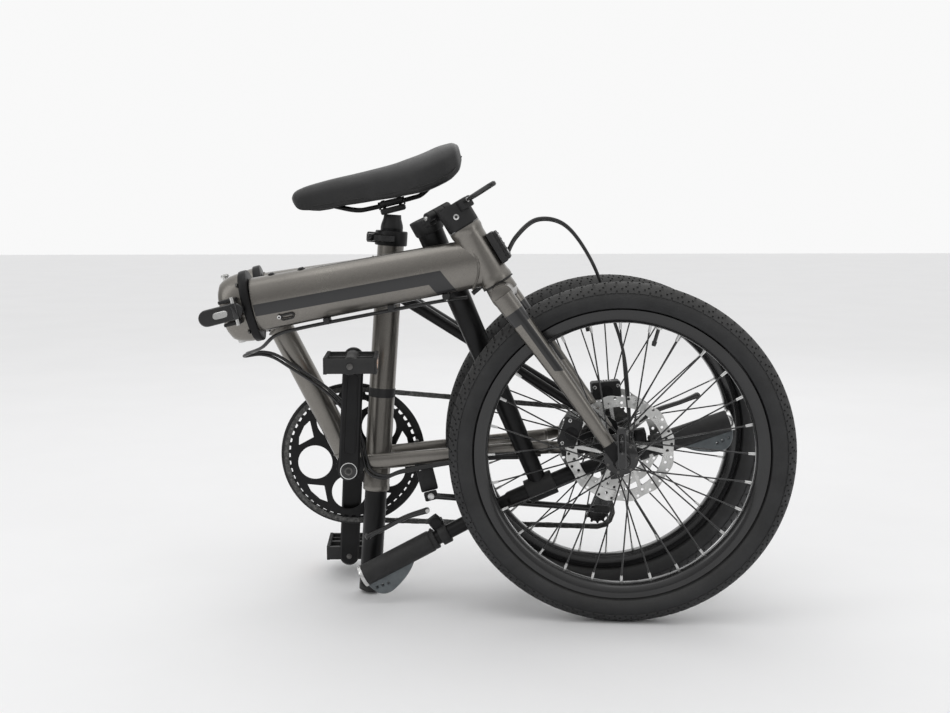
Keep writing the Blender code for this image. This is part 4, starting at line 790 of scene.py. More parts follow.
def build_crankset(style):
    ring = Piece("chainring_spider", "crankset")
    outlines = [toothed(52, 0.0985, 0.1040), circle(0.0090, 24)]
    for index in range(5):
        angle = math.tau * index / 5 + 0.58
        outlines.append(circle(0.0270, 40, polar(0.0610, angle)))
        between = angle + math.pi / 5
        corners = ((0.0680, 0.0), (0.0868, -0.25), (0.0893, -0.11), (0.0893, 0.11), (0.0868, 0.25))
        outlines.append([polar(radius, between + turn) for radius, turn in corners])
    ring.add(cutout(outlines, 0.0030, across_bike(BB + Y * 0.050), 0.0005), "black_anodised")
    profile = [(0.0090, -0.004), (0.0215, -0.004), (0.0225, -0.003), (0.0225, 0.008), (0.0205, 0.0102), (0.0090, 0.0102)]
    ring.add(lathe(profile, BB + Y * 0.050, Y, 48, closed=True), "black_anodised")
    for index in range(5):
        spot = BB + turned_plan(math.tau * index / 5 + 0.58 + math.pi / 5) * 0.0600 + Y * 0.0508
        ring.add(rod(spot, spot + Y * 0.0022, 0.0024, segments=20, round_by=0.0005), "bright_alloy")
    ring.done("black_alloy", ["chainring"])

    guard = Piece("guard_ring", "crankset")
    profile = [(0.1018, -0.0013), (0.1090, -0.0015), (0.1135, -0.0012), (0.1140, 0.0), (0.1132, 0.0014),
               (0.1090, 0.0010), (0.1030, 0.0015), (0.1016, 0.0010)]
    guard.add(lathe(profile, BB + Y * 0.0575, Y, 128, closed=True), "moulded_black")
    for index in range(5):
        spot = BB + turned_plan(math.tau * index / 5 + 0.58 + math.pi / 5) * 0.1035 + Y * 0.0586
        guard.add(rod(spot - Y * 0.003, spot + Y * 0.0012, 0.0030, segments=16, round_by=0.0005), "bright_alloy")
    guard.done("black_plastic", ["chain_guard"])

    axle = Piece("crank_axle", "crankset").add(rod(BB - Y * 0.069, BB + Y * 0.069, 0.0085, round_by=0.0008), "dark_steel")
    axle.done("steel", ["bb_spindle"])

    for side, word in ((-1, "left"), (1, "right")):
        up = CRANK_LINE * -side
        centre = BB + Y * side * 0.070
        arm = Piece(f"crank_arm_{word}", "crankset")
        # The outline is drawn with x along the arm, facing outwards.
        place = facing(centre, Y * side, up)
        outline = slot_outline((0, 0), (0.170, 0), 0.0158, 12, end_radius=0.0152)
        arm.add(cutout([outline], 0.0128, place, 0.0028), "black_anodised")
        recess = slot_outline((0.034, 0), (0.138, 0), 0.0075, 10, end_radius=0.0065)
        raised = facing(centre + Y * side * 0.0058, Y * side, up)
        frame_outline = slot_outline((0.034, 0), (0.138, 0), 0.0100, 10, end_radius=0.0090)
        arm.add(cutout([frame_outline, recess], 0.0024, raised, 0.0007), "black_anodised")
        face = centre + Y * side * 0.0062
        arm.add(rod(centre + Y * side * 0.0040, centre + Y * side * 0.0068, 0.0132, 0.0126, segments=48), "bright_alloy")
        arm.add(rod(face, face + Y * side * 0.0022, 0.0118, 0.0112, segments=48, round_by=0.0007), "black_gloss")
        arm.add(rod(face + Y * side * 0.0018, face + Y * side * 0.0032, 0.0062, segments=24, round_by=0.0006), "dark_steel")
        # The crank bolt's socket is painted shade: a thin black hexagon on the bolt head in place of a recess.
        arm.add(rod(face + Y * side * 0.0028, face + Y * side * 0.0034, 0.0040, segments=6), "moulded_black")
        tip = centre + up * 0.170
        arm.add(rod(tip - Y * side * 0.0068, tip + Y * side * (0.0064 + 0.100), 0.0045, segments=24, round_by=0.0006), "dark_steel")
        arm.add(rod(tip + Y * side * 0.0062, tip + Y * side * 0.0105, 0.0085, segments=6), "bright_alloy")
        arm.done("black_alloy", [f"crank_{word}"])
        build_pedal(side, word, tip)


def build_pedal(side, word, tip):
    """A cage pedal with toothed edges, a ribbed middle and an amber lens in each end."""
    pedal = Piece(f"cage_pedal_{word}", f"pedal_{word}")
    centre = tip + Y * side * (0.0065 + 0.045 + 0.006)
    long_side = 0.0885

    def local(x, y, z):
        return centre + LEVEL * x + Y * side * y + CRANK_UP * z

    barrel = lathe([(0.0050, -0.0440), (0.0120, -0.0440), (0.0128, -0.0425), (0.0112, -0.0200), (0.0112, 0.0200),
                    (0.0128, 0.0425), (0.0120, 0.0440), (0.0050, 0.0440)], centre, Y, 32, closed=True)
    pedal.add(barrel, "moulded_black")
    pedal.add(rod(local(0, 0.0436, 0), local(0, 0.0449, 0), 0.0075, segments=24, round_by=0.0005), "moulded_black")
    for k in (-1, 1):
        # Toothed long edge of the cage
        edge = []
        teeth = 13
        for number in range(teeth):
            start = -long_side / 2 + long_side * number / teeth
            width = long_side / teeth
            edge += [(start + width * 0.15, 0.0092), (start + width * 0.30, 0.0118), (start + width * 0.70, 0.0118),
                     (start + width * 0.85, 0.0092)]
        outline = edge + [(-a, -b) for a, b in edge]
        place = facing(local(k * 0.0350, 0, 0), LEVEL * k, Y)
        pedal.add(cutout([outline], 0.0052, place, 0.0005), "moulded_black")
        end = 0.0425 * k
        pedal.add(block(local(0, end, 0), (0.0700, 0.0046, 0.0215), CRANK_UP, LEVEL, 0.0012), "moulded_black")
        pedal.add(block(local(k * 0.0210, 0, 0), (0.0270, 0.0070, 0.0170), CRANK_UP, LEVEL, 0.0010), "moulded_black")
        for offset in (-0.027, 0.027):
            pedal.add(block(local(k * 0.0220, offset, 0), (0.0260, 0.0028, 0.0150), CRANK_UP, LEVEL, 0.0006), "moulded_black")
        lens = block(local(k * 0.0366, 0, 0), (0.0026, 0.0500, 0.0125), CRANK_UP, LEVEL, 0.0010)
        pedal.add(lens, "amber_lens")
        for row in (-1, 1):
            pedal.add(block(local(k * 0.0372, 0, row * 0.0075), (0.0018, 0.0540, 0.0016), CRANK_UP, LEVEL, 0.0003), "moulded_black")
        pedal.add(block(local(k * 0.0312, side * 0.0443, 0), (0.0070, 0.0026, 0.0165), CRANK_UP, LEVEL, 0.0006), "amber_lens")
    for row in range(4):
        level = -0.0081 + 0.0054 * row
        pedal.add(block(local(0, side * 0.0446, level), (0.0520, 0.0016, 0.0022), CRANK_UP, LEVEL, 0.0005), "moulded_black")
    pedal.done("black_plastic", [f"pedal_{word}"])


def build_cassette():
    cogs = Piece("sprockets", "cassette")
    teeth = (28, 24, 21, 18, 16, 15, 14)
    radii = (0.0500, 0.0450, 0.0405, 0.0360, 0.0315, 0.0282, 0.0246)
    for index, (count, radius) in enumerate(zip(teeth, radii)):
        y = 0.0312 + 0.0043 * index
        outlines = [toothed(count, radius - 0.0040, radius - 0.0004, index * 0.1), circle(0.0170, 28)]
        if index < 4:
            for hole in range(6):
                angle = math.tau * hole / 6 + index * 0.2
                away = (radius - 0.004 + 0.017) / 2
                outlines.append(circle((radius - 0.022) * 0.28, 14, (away * math.cos(angle), away * math.sin(angle))))
        cogs.add(cutout(outlines, 0.0020, across_bike(Y * y), 0.0003), "dark_steel")
    sleeve = lathe([(0.0168, 0.0302), (0.0192, 0.0302), (0.0192, 0.0588), (0.0168, 0.0588)], Vector(), Y, 48, closed=True)
    cogs.add(sleeve, "black_cast")
    cogs.done("steel", ["cassette"])


def build_derailleur():
    fixed = Piece("gear_changer", "rear_frame")
    hanger = Vector((0.010, 0.0800, -0.030))
    joint = GUIDE + Y * 0.020
    fixed.add(rod(hanger - Y * 0.0074, hanger + Y * 0.0070, 0.0092, segments=32, round_by=0.0012), "black_gloss")
    fixed.add(rod(hanger + Y * 0.0066, hanger + Y * 0.0084, 0.0052, segments=6), "dark_steel")
    span = joint - hanger
    fixed.add(loft([(hanger, span, 0.0085, 0.0070), (hanger + span * 0.5, span, 0.0092, 0.0078),
                    (joint, span, 0.0088, 0.0076), (joint + span * 0.10, span, 0.0060, 0.0050)], 24, 3.0, Y), "black_gloss")
    fixed.add(rod(joint - Y * 0.0082, joint + Y * 0.0078, 0.0100, 0.0092, segments=32, round_by=0.0012), "black_gloss")
    fixed.add(rod(joint + Y * 0.0072, joint + Y * 0.0088, 0.0035, segments=6), "bright_alloy")
    stop = hanger + Vector((-0.010, 0.002, -0.010))
    fixed.add(rod(stop, stop + Vector((-0.010, 0, 0.003)), 0.0032, segments=16, round_by=0.0006), "bright_alloy")
    fixed.done("black_alloy", ["rear_derailleur"])

    cage = Piece("pulley_cage", "derailleur_cage")
    span = TENSION - GUIDE
    for offset in (-0.0058, 0.0058):
        place = facing(GUIDE + Y * offset, Y, span)
        outlines = [slot_outline((0, 0), (span.length, 0), 0.0128, 10),
                    slot_outline((0.026, 0.0), (span.length - 0.026, 0.0), 0.0052, 6)]
        cage.add(cutout(outlines, 0.0015, place, 0.0003), "black_gloss")
    for centre in (GUIDE, TENSION):
        outlines = [toothed(11, 0.0160, 0.0194, 0.2), circle(0.0045, 16)]
        for hole in range(5):
            angle = math.tau * hole / 5
            outlines.append(circle(0.0026, 12, (0.0100 * math.cos(angle), 0.0100 * math.sin(angle))))
        cage.add(cutout(outlines, 0.0030, across_bike(centre), 0.0005), "moulded_black")
        cage.add(rod(centre - Y * 0.0064, centre + Y * 0.0068, 0.0042, segments=20, round_by=0.0006), "dark_steel")
    cage.done("black_alloy", ["derailleur_cage"])


# ---------------------------------------------------------------- rear frame


def bolt(piece, spot, along, radius, height=0.003, material="bright_alloy", socket=0.5):
    """A button head whose hexagon socket is a thin black hexagon laid on top: painted shade standing in for the recess.
    """
    spot, along = Vector(spot), Vector(along).normalized()
    piece.add(rod(spot - along * 0.001, spot + along * height, radius, radius * 0.92, segments=24,
                  round_by=radius * 0.15), material)
    # The socket is painted shade: a thin black hexagon on the head in place of a recess.
    piece.add(rod(spot + along * (height - 0.0004), spot + along * (height + 0.0002), radius * socket, segments=6),
              "moulded_black")


def oval_loft(start, end, size, end_size, steps=5, segments=48, power=2.15):
    start, end = Vector(start), Vector(end)
    rings = []
    for step in range(steps + 1):
        share = step / steps
        half = [(a + (b - a) * share) / 2 for a, b in zip(size, end_size)]
        rings.append((start.lerp(end, share), end - start, half[0], half[1]))
    return loft(rings, segments, power, Y)


def oval_points(centre, along, half_side, half_other, count=28, side=Y):
    place = facing(centre, along, side)
    return [place @ Vector((half_side * math.cos(math.tau * k / count), half_other * math.sin(math.tau * k / count), 0))
            for k in range(count)]


def hinge_half(piece, side, dome_paint):
    """The domed casting beside the joint, its flange ring and the bolts in the flange."""
    rings = []
    for step in range(9):
        share = step / 8
        swell = math.sqrt(max(0.0, 1 - (1 - share) ** 2.0))
        half_width = 0.020 + (0.0270 - 0.020) * swell
        half_height = 0.033 + (0.0495 - 0.033) * swell
        rings.append((HINGE + X * side * (0.0006 + 0.0352 * share), X * side, half_width, half_height))
    piece.add(loft(rings, 64, 2.1, Y), dome_paint)
    flange = [(0.0352, 0.955), (0.0362, 0.99), (0.0380, 1.0), (0.0455, 1.0), (0.0468, 0.99), (0.0474, 0.96)]
    piece.add(loft([(HINGE + X * side * x, X * side, 0.030 * k, 0.052 * k) for x, k in flange], 64, 2.1, Y), "black_anodised")
    for k in (-1, 1):
        for y in (-1, 1):
            spot = HINGE + X * side * 0.0352 + Y * y * 0.0225 + Z * k * 0.0345
            piece.add(rod(spot, spot - X * side * 0.003, 0.0030, segments=16, round_by=0.0006), "dark_steel")


def knuckle(piece, side, low, high, material):
    barrel = rod(FRAME_PIN + Z * low, FRAME_PIN + Z * high, 0.0090, segments=40, round_by=0.0010)
    piece.add(barrel, material)
    middle = FRAME_PIN + Z * (low + high) / 2
    piece.add(block(middle + X * side * 0.0118 + Y * 0.020, (0.0212, 0.0400, high - low), Z, X, 0.0022), material)


def build_rear_frame(style):
    seat = Piece("seat_tube_painted", "rear_frame")
    tube = [(0.0178, -0.042), (0.0200, -0.042), (0.0206, -0.0405), (0.0206, -0.0340), (0.0200, -0.0325),
            (0.0200, 0.352), (0.0178, 0.352)]
    seat.add(lathe(tube, SEAT_FOOT, SEAT_DIR, 64, closed=True), "bronze_paint")
    band = [(0.0199, 0.104), (0.0206, 0.1045), (0.0206, 0.1175), (0.0199, 0.118)]
    seat.add(lathe(band, SEAT_FOOT, SEAT_DIR, 64, closed=True), "moulded_black")
    for distance in (0.272, 0.312):
        seat.add(bead(oval_points(along_seat(distance), SEAT_DIR, 0.0202, 0.0202), 0.0008), "weld_paint")
    seat.done("frame_paint", ["seat_tube"])

    beam = Piece("rear_beam", "rear_frame")
    start = HINGE + X * 0.0478
    end = along_seat(0.292)
    beam.add(oval_loft(start, end, (0.050, 0.078), (0.037, 0.060)), "bronze_paint")
    toward = (end - start).normalized()
    beam.add(bead(oval_points(end - toward * 0.0185, toward, 0.0192, 0.0308), 0.0016), "weld_paint")
    beam.add(bead(oval_points(start + toward * 0.001, toward, 0.0252, 0.0392), 0.0010), "weld_paint")
    # Gusset between the beam and the seat tube
    gusset = cutout([[(0.0, 0.0), (0.058, 0.006), (0.030, 0.030), (0.004, 0.052)]], 0.007,
                    facing(along_seat(0.245) - SEAT_BACK * 0.019, Y, -SEAT_BACK), 0.002)
    beam.add(gusset, "bronze_paint")
    beam.done("frame_paint", ["rear_main_tube"])

    shell = Piece("bottom_bracket_shell", "rear_frame")
    profile = [(0.0125, -0.034), (0.0196, -0.034), (0.0200, -0.0335), (0.0200, 0.0335), (0.0196, 0.034), (0.0125, 0.034)]
    shell.add(lathe(profile, BB, Y, 64, closed=True), "bronze_paint")
    for side in (-1, 1):
        cup = [(0.0100, 0.0335), (0.0192, 0.0335), (0.0208, 0.0345), (0.0208, 0.0400), (0.0190, 0.0408), (0.0100, 0.0408)]
        if side > 0:
            cup = [(r, h if h < 0.036 else 0.0360) for r, h in cup]
        shell.add(lathe([(r, h * side) for r, h in cup], BB, Y, 48, closed=True), "black_anodised")
        if side < 0:
            for k in range(16):
                spot = BB + turned_plan(math.tau * k / 16) * 0.0206 - Y * 0.0372
                shell.add(rod(spot - Y * 0.003, spot + Y * 0.003, 0.0010, segments=6), "moulded_black")
    shell.done("frame_paint", ["bb_shell"])

    brace = Piece("brace_painted", "rear_frame")
    top = Vector((-0.447, 0, 0.300))
    brace.add(oval_loft(top, BB, (0.037, 0.037), (0.037, 0.037), steps=2), "bronze_paint")
    down = (BB - top).normalized()
    brace.add(bead(oval_points(top + down * 0.012, (down + X * 0.35).normalized(), 0.0190, 0.0205), 0.0014), "weld_paint")
    brace.add(bead(oval_points(BB - down * 0.0205, down, 0.0187, 0.0187), 0.0012), "weld_paint")
    brace.done("frame_paint", ["brace_tube"])

    casting = Piece("rear_hinge", "rear_frame")
    hinge_half(casting, 1, "bronze_paint")
    knuckle(casting, 1, -0.040, -0.0183, "black_cast")
    knuckle(casting, 1, 0.0183, 0.040, "black_cast")
    casting.done("frame_paint", ["rear_hinge_casting"])
    pin = Piece("hinge_pin", "rear_frame")
    pin.add(rod(FRAME_PIN - Z * 0.0515, FRAME_PIN + Z * 0.0515, 0.0040, segments=24), "brushed_steel")
    for k in (-1, 1):
        bolt(pin, FRAME_PIN + Z * 0.0486 * k, Z * k, 0.0064, 0.0032, "brushed_steel")
    pin.done("steel", ["frame_hinge_pin"])

    for side, word in ((-1, "left"), (1, "right")):
        build_stays(side, word)

    collar = Piece("seat_collar", "rear_frame")
    profile = [(0.0203, -0.0160), (0.0236, -0.0160), (0.0245, -0.0150), (0.0245, 0.0045), (0.0236, 0.0060), (0.0176, 0.0060),
               (0.0176, 0.0024), (0.0203, 0.0020)]
    middle = along_seat(0.352)
    collar.add(lathe(profile, middle, SEAT_DIR, 64, closed=True), "black_anodised")
    ear = along_seat(0.347) - SEAT_BACK * 0.0290
    collar.add(block(ear, (0.0155, 0.0178, 0.0155), SEAT_DIR, X, 0.0020), "black_anodised")
    collar.add(rod(ear + Y * 0.0080, ear + Y * 0.0100, 0.0050, segments=24, round_by=0.0006), "bright_alloy")
    collar.done("black_alloy", ["seat_clamp"])

    axle = Piece("rear_axle_turned", "rear_frame")
    axle.add(rod(-Y * 0.0745, Y * 0.0745, 0.0046, segments=24, round_by=0.0006), "brushed_steel")
    for k in (-1, 1):
        axle.add(rod(Y * k * 0.0718, Y * k * 0.0792, 0.0079, segments=6, round_by=0.0006), "dark_steel")
        axle.add(rod(Y * k * 0.0717, Y * k * 0.0728, 0.0080, segments=32), "bright_alloy")
    axle.done("steel", ["rear_axle"])
    build_caliper("rear_caliper", "rear_frame", REAR_AXLE, -0.0455, Vector((0.157, 0, 0.988)), "rear_brake_caliper")

    catch = Piece("magnet_housing", "rear_frame")
    centre = Vector((-0.066, -0.0865, 0.0140))
    along = Z - X * 0.1
    catch.add(block(centre, (0.0250, 0.0172, 0.0230), along, X, 0.0030), "moulded_black")
    up = along.normalized()
    for k in range(6):
        spot = centre + up * (-0.0092 + 0.0037 * k)
        catch.add(block(spot, (0.0262, 0.0182, 0.0016), along, X, 0.0005), "moulded_black")
    catch.add(rod(centre - Y * 0.0080, centre - Y * 0.0094, 0.0056, segments=32, round_by=0.0004), "brushed_steel")
    catch.done("black_plastic", ["magnet_catch"])


def build_stays(side, word):
    stays = Piece(f"stays_{word}", "rear_frame")

    def at(x, y, z):
        return Vector((x, side * y, z))

    bend = at(-0.108, 0.0450, 0.0145)
    end = at(-0.062, 0.0690, 0.008)
    path = smooth_path([at(-0.386, 0.0285, 0.057), at(-0.247, 0.0370, 0.036), bend, at(-0.086, 0.0560, 0.0112), end], 22)
    rings = []
    for index, point in enumerate(path):
        share = index / 21
        ahead, behind = path[min(index + 1, 21)], path[max(index - 1, 0)]
        rings.append((point, ahead - behind, 0.0069 - 0.0020 * share, 0.0123 - 0.0035 * share))
    stays.add(loft(rings, 32, 2.4, Y), "bronze_paint")
    top, foot = at(-0.266, 0.0235, 0.300), at(0.000, 0.0690, 0.024)
    stays.add(oval_loft(top, foot, (0.0188, 0.0188), (0.0120, 0.0124), steps=4, segments=28), "black_anodised")
    stays.add(rod(top, top + (top - foot).normalized() * 0.003, 0.0093, 0.0070, segments=28), "black_anodised")
    outline = [(-0.072, -0.004), (-0.060, 0.020), (-0.014, 0.026), (0.004, 0.040), (0.014, 0.030),
               (0.016, 0.002), (0.008, -0.0095), (-0.008, -0.0095), (-0.040, -0.006)]
    holes = [circle(0.0050, 24)[::-1], [(-0.050, 0.004), (-0.046, 0.013), (-0.022, 0.016), (-0.018, 0.004)]]
    plate = cutout([outline, *holes], 0.0048, across_bike(Y * side * 0.0690), 0.0008)
    stays.add(plate, "black_anodised")
    for share in (0.34, 0.60):
        # Cable clips along the chainstay
        spot = Vector((-0.386, side * 0.0285, 0.057)).lerp(bend, share)
        stays.add(block(spot - Z * 0.0115, (0.010, 0.008, 0.006), X, Y, 0.0012), "moulded_black")
    if side < 0:
        plate = Vector((-0.284, -0.0345, 0.014))
        stays.add(block(plate, (0.026, 0.0100, 0.050), Z, X, 0.0022), "black_cast")
        for k in (-1, 1):
            bolt(stays, plate + X * k * 0.0065 - Y * 0.0046 + Z * 0.0130, -Y, 0.0038, 0.0026)
    else:
        stays.add(block((0.010, 0.0690, -0.018), (0.018, 0.0050, 0.030), Z, X, 0.0016), "black_anodised")
        # Bridge behind the bottom bracket, carried by the right side
        stays.add(rod(at(-0.330, 0.0300, 0.049), at(-0.330, -0.0300, 0.049), 0.0060, segments=24), "bronze_paint")
    for point in (top.lerp(foot, 0.16),):
        stays.add(block(point, (0.0150, 0.0130, 0.0080), foot - top, Y, 0.0020), "black_anodised")
    stays.done("black_alloy", [f"rear_stays_{word}"])


def build_caliper(name, body, axle, rotor_y, radial, node):
    """Two halves bolted together over the disc, with a bridge, pad fins and pads."""
    tangent = radial.cross(Y)
    piece = Piece(name, body)
    centre = axle + Y * rotor_y + radial * 0.0770
    for side in (-1, 1):
        middle = centre + Y * side * 0.0072
        piece.add(block(middle, (0.0440, 0.0088, 0.0270), radial, tangent, 0.0030), "black_cast")
        face = middle + Y * side * 0.0030
        piece.add(rod(face - radial * 0.002, face - radial * 0.002 + Y * side * 0.0018, 0.0098, segments=40, round_by=0.0006),
                  "black_anodised")
        for k in (-1, 1):
            bolt(piece, middle + tangent * k * 0.0175 + radial * 0.0060 + Y * side * 0.0036, Y * side, 0.0030, 0.0020)
    piece.add(block(centre + radial * 0.0095, (0.0420, 0.0120, 0.0070), radial, tangent, 0.0015), "black_cast")
    for k in range(5):
        piece.add(block(centre + tangent * (-0.008 + 0.004 * k) + radial * 0.0115, (0.0014, 0.0110, 0.0050), radial, tangent,
                        0.0004), "brushed_steel")
    piece.add(block(centre - radial * 0.0090 + Y * 0.0027, (0.024, 0.0014, 0.012), radial, tangent, 0.0003), "dark_steel")
    piece.add(block(centre - radial * 0.0090 - Y * 0.0027, (0.024, 0.0014, 0.012), radial, tangent, 0.0003), "dark_steel")
    piece.done("black_alloy", [node])


def build_kickstand():
    stand = Piece("side_stand", "kickstand")
    start = Vector((-0.284, -0.0455, -0.017))
    end = start + Vector((0.240, 0, -0.083))
    along = (end - start).normalized()
    stand.add(block(start, (0.0200, 0.0093, 0.0138), Z, X, 0.0022), "black_cast")
    stand.add(rod(start - Y * 0.0046, start - Y * 0.0064, 0.0052, segments=24, round_by=0.0006), "bright_alloy")
    stand.add(pipe([start, start.lerp(end, 0.5), end], 0.0049, 24), "black_gloss")
    stand.add(rod(end - along * 0.004, end + along * 0.0205, 0.0063, 0.0058, segments=24, round_by=0.0014), "moulded_black")
    for k in range(3):
        spot = end + along * (0.004 + 0.005 * k)
        stand.add(rod(spot, spot + along * 0.0016, 0.0066, segments=24), "moulded_black")
    stand.done("black_alloy", ["kickstand"])


def build_seat_lever():
    lever = Piece("seat_quick_lever", "seat_clamp_lever")
    middle = along_seat(0.347)
    outline = []
    for radius, order in ((0.0287, 1), (0.0333, -1)):
        for step in range(15)[::order]:
            angle = math.radians(196 + 6 * step)
            grown = radius + (0.0014 * math.sin(math.pi * step / 14) if order < 0 else 0)
            outline.append((min(grown, 0.0335) * math.cos(angle), min(grown, 0.0335) * math.sin(angle)))
    lever.add(cutout([outline], 0.0108, facing(middle, SEAT_DIR, SEAT_BACK), 0.0012), "black_gloss")
    pivot = middle - SEAT_BACK * 0.031 - Y * 0.0155
    lever.add(rod(pivot - SEAT_DIR * 0.0055, pivot + SEAT_DIR * 0.0055, 0.0060, segments=32, round_by=0.0010), "black_gloss")
    lever.add(rod(pivot - SEAT_DIR * 0.0058, pivot + SEAT_DIR * 0.0058, 0.0026, segments=16), "bright_alloy")
    lever.done("black_alloy", ["seat_clamp_lever"])


# ---------------------------------------------------------------- seatpost and saddle

SADDLE_TABLE = (
    (0.000, 0.008, 0.016, 0.022), (0.020, 0.020, 0.008, 0.036), (0.090, 0.021, 0.004, 0.042),
    (0.240, 0.026, 0.003, 0.046), (0.420, 0.036, 0.004, 0.050), (0.600, 0.056, 0.004, 0.054),
    (0.760, 0.074, 0.000, 0.056), (0.900, 0.078, -0.006, 0.050), (0.970, 0.066, -0.006, 0.038),
    (1.000, 0.040, 0.000, 0.022),
)
SADDLE_ORIGIN = along_seat(SEATPOST_TOP) + SEAT_DIR * 0.030 + Z * 0.0075


def saddle_row(station):
    for before, after in zip(SADDLE_TABLE, SADDLE_TABLE[1:]):
        if station <= after[0]:
            share = (station - before[0]) / (after[0] - before[0])
            share = share * share * (3 - 2 * share) if before[0] > 0.03 and after[0] < 0.95 else share
            return [a + (b - a) * share for a, b in zip(before, after)]
    return list(SADDLE_TABLE[-1])


def saddle_shape(inset, floor):
    """Rings along the saddle, domed on top and tucked in below its skirt."""
    shape = bmesh.new()
    loops = []
    stations = [0.0, 0.006, 0.014, 0.03, 0.06, 0.10, 0.16, 0.22, 0.28, 0.34, 0.40, 0.46, 0.52, 0.58, 0.64, 0.70, 0.76,
                0.82, 0.87, 0.91, 0.945, 0.97, 0.985, 0.994, 1.0]
    for station in stations:
        _, half, drop, skirt = saddle_row(station)
        half = max(half - inset, 0.003)
        top = 0.060 - drop - inset
        low = max(0.060 - skirt, floor) if floor else 0.060 - skirt
        middle = low + (top - low) * 0.42
        x = -0.144 + 0.262 * station + (0.5 - station) * inset * 2
        section = []
        for step in range(25):
            angle = math.pi * step / 24
            y = half * math.cos(angle)
            section.append((y, middle + (top - middle) * abs(math.sin(angle)) ** 0.72))
        section += [(-half * 0.985, low + 0.0030), (-half * 0.95, low), (-half * 0.86, low + 0.0005), (0.0, low + 0.003),
                    (half * 0.86, low + 0.0005), (half * 0.95, low), (half * 0.985, low + 0.0030)]
        made = bmesh.ops.create_circle(shape, cap_ends=False, segments=len(section), radius=1.0)
        for vert, (y, z) in zip(made["verts"], section):
            vert.co = SADDLE_ORIGIN + Vector((x, y, z))
        loops.append(list({edge for vert in made["verts"] for edge in vert.link_edges}))
    for first, second in zip(loops, loops[1:]):
        bmesh.ops.bridge_loops(shape, edges=first + second)
    for loop in (loops[0], loops[-1]):
        bmesh.ops.contextual_create(shape, geom=loop)
    bmesh.ops.recalc_face_normals(shape, faces=shape.faces)
    return shape


def build_saddle():
    cover = Piece("saddle_padding", "seatpost_assembly").add(saddle_shape(0.0, None), "saddle_skin")
    cover = cover.done("saddle_cover", ["saddle_cover"], sharp=80)
    subdivide = cover.modifiers.new("smooth", "SUBSURF")
    subdivide.levels = subdivide.render_levels = 1

    seam = Piece("saddle_seam", "seatpost_assembly")
    rim = []
    stations = [k / 40 for k in range(2, 41)]
    for side in (1, -1):
        for station in (stations if side > 0 else stations[::-1]):
            _, half, drop, skirt = saddle_row(station)
            low = 0.060 - skirt
            top = 0.060 - drop
            rim.append(SADDLE_ORIGIN + Vector((-0.144 + 0.262 * station, side * half * 0.985, low + (top - low) * 0.17)))
    for start, end in ((0, 38), (39, 77)):
        seam.add(pipe(smooth_path(rim[start:end:2], 90), 0.0009, 6), "saddle_thread")
    seam.done("saddle_cover")

    base = Piece("saddle_base", "seatpost_assembly").add(saddle_shape(0.0125, 0.0165), "moulded_black")
    bmesh.ops.translate(base.shape, vec=-Z * 0.0030, verts=base.shape.verts)
    base.done("black_plastic", ["saddle_shell"])

    rails = Piece("saddle_frame", "seatpost_assembly")
    y = 0.021
    path = [(0.092, y * 1.5, 0.031), (0.078, y * 1.35, 0.021), (0.050, y, 0.003), (0.030, y, 0.0), (-0.030, y, 0.0),
            (-0.055, y * 0.9, 0.003), (-0.088, y * 0.40, 0.018), (-0.104, y * 0.14, 0.024)]
    for side in (-1, 1):
        points = [SADDLE_ORIGIN + Vector((a, b * side, c)) for a, b, c in path]
        rails.add(pipe(smooth_path(points, 40), 0.0035, 16), "black_anodised")
    rails.done("steel", ["saddle_rails"])


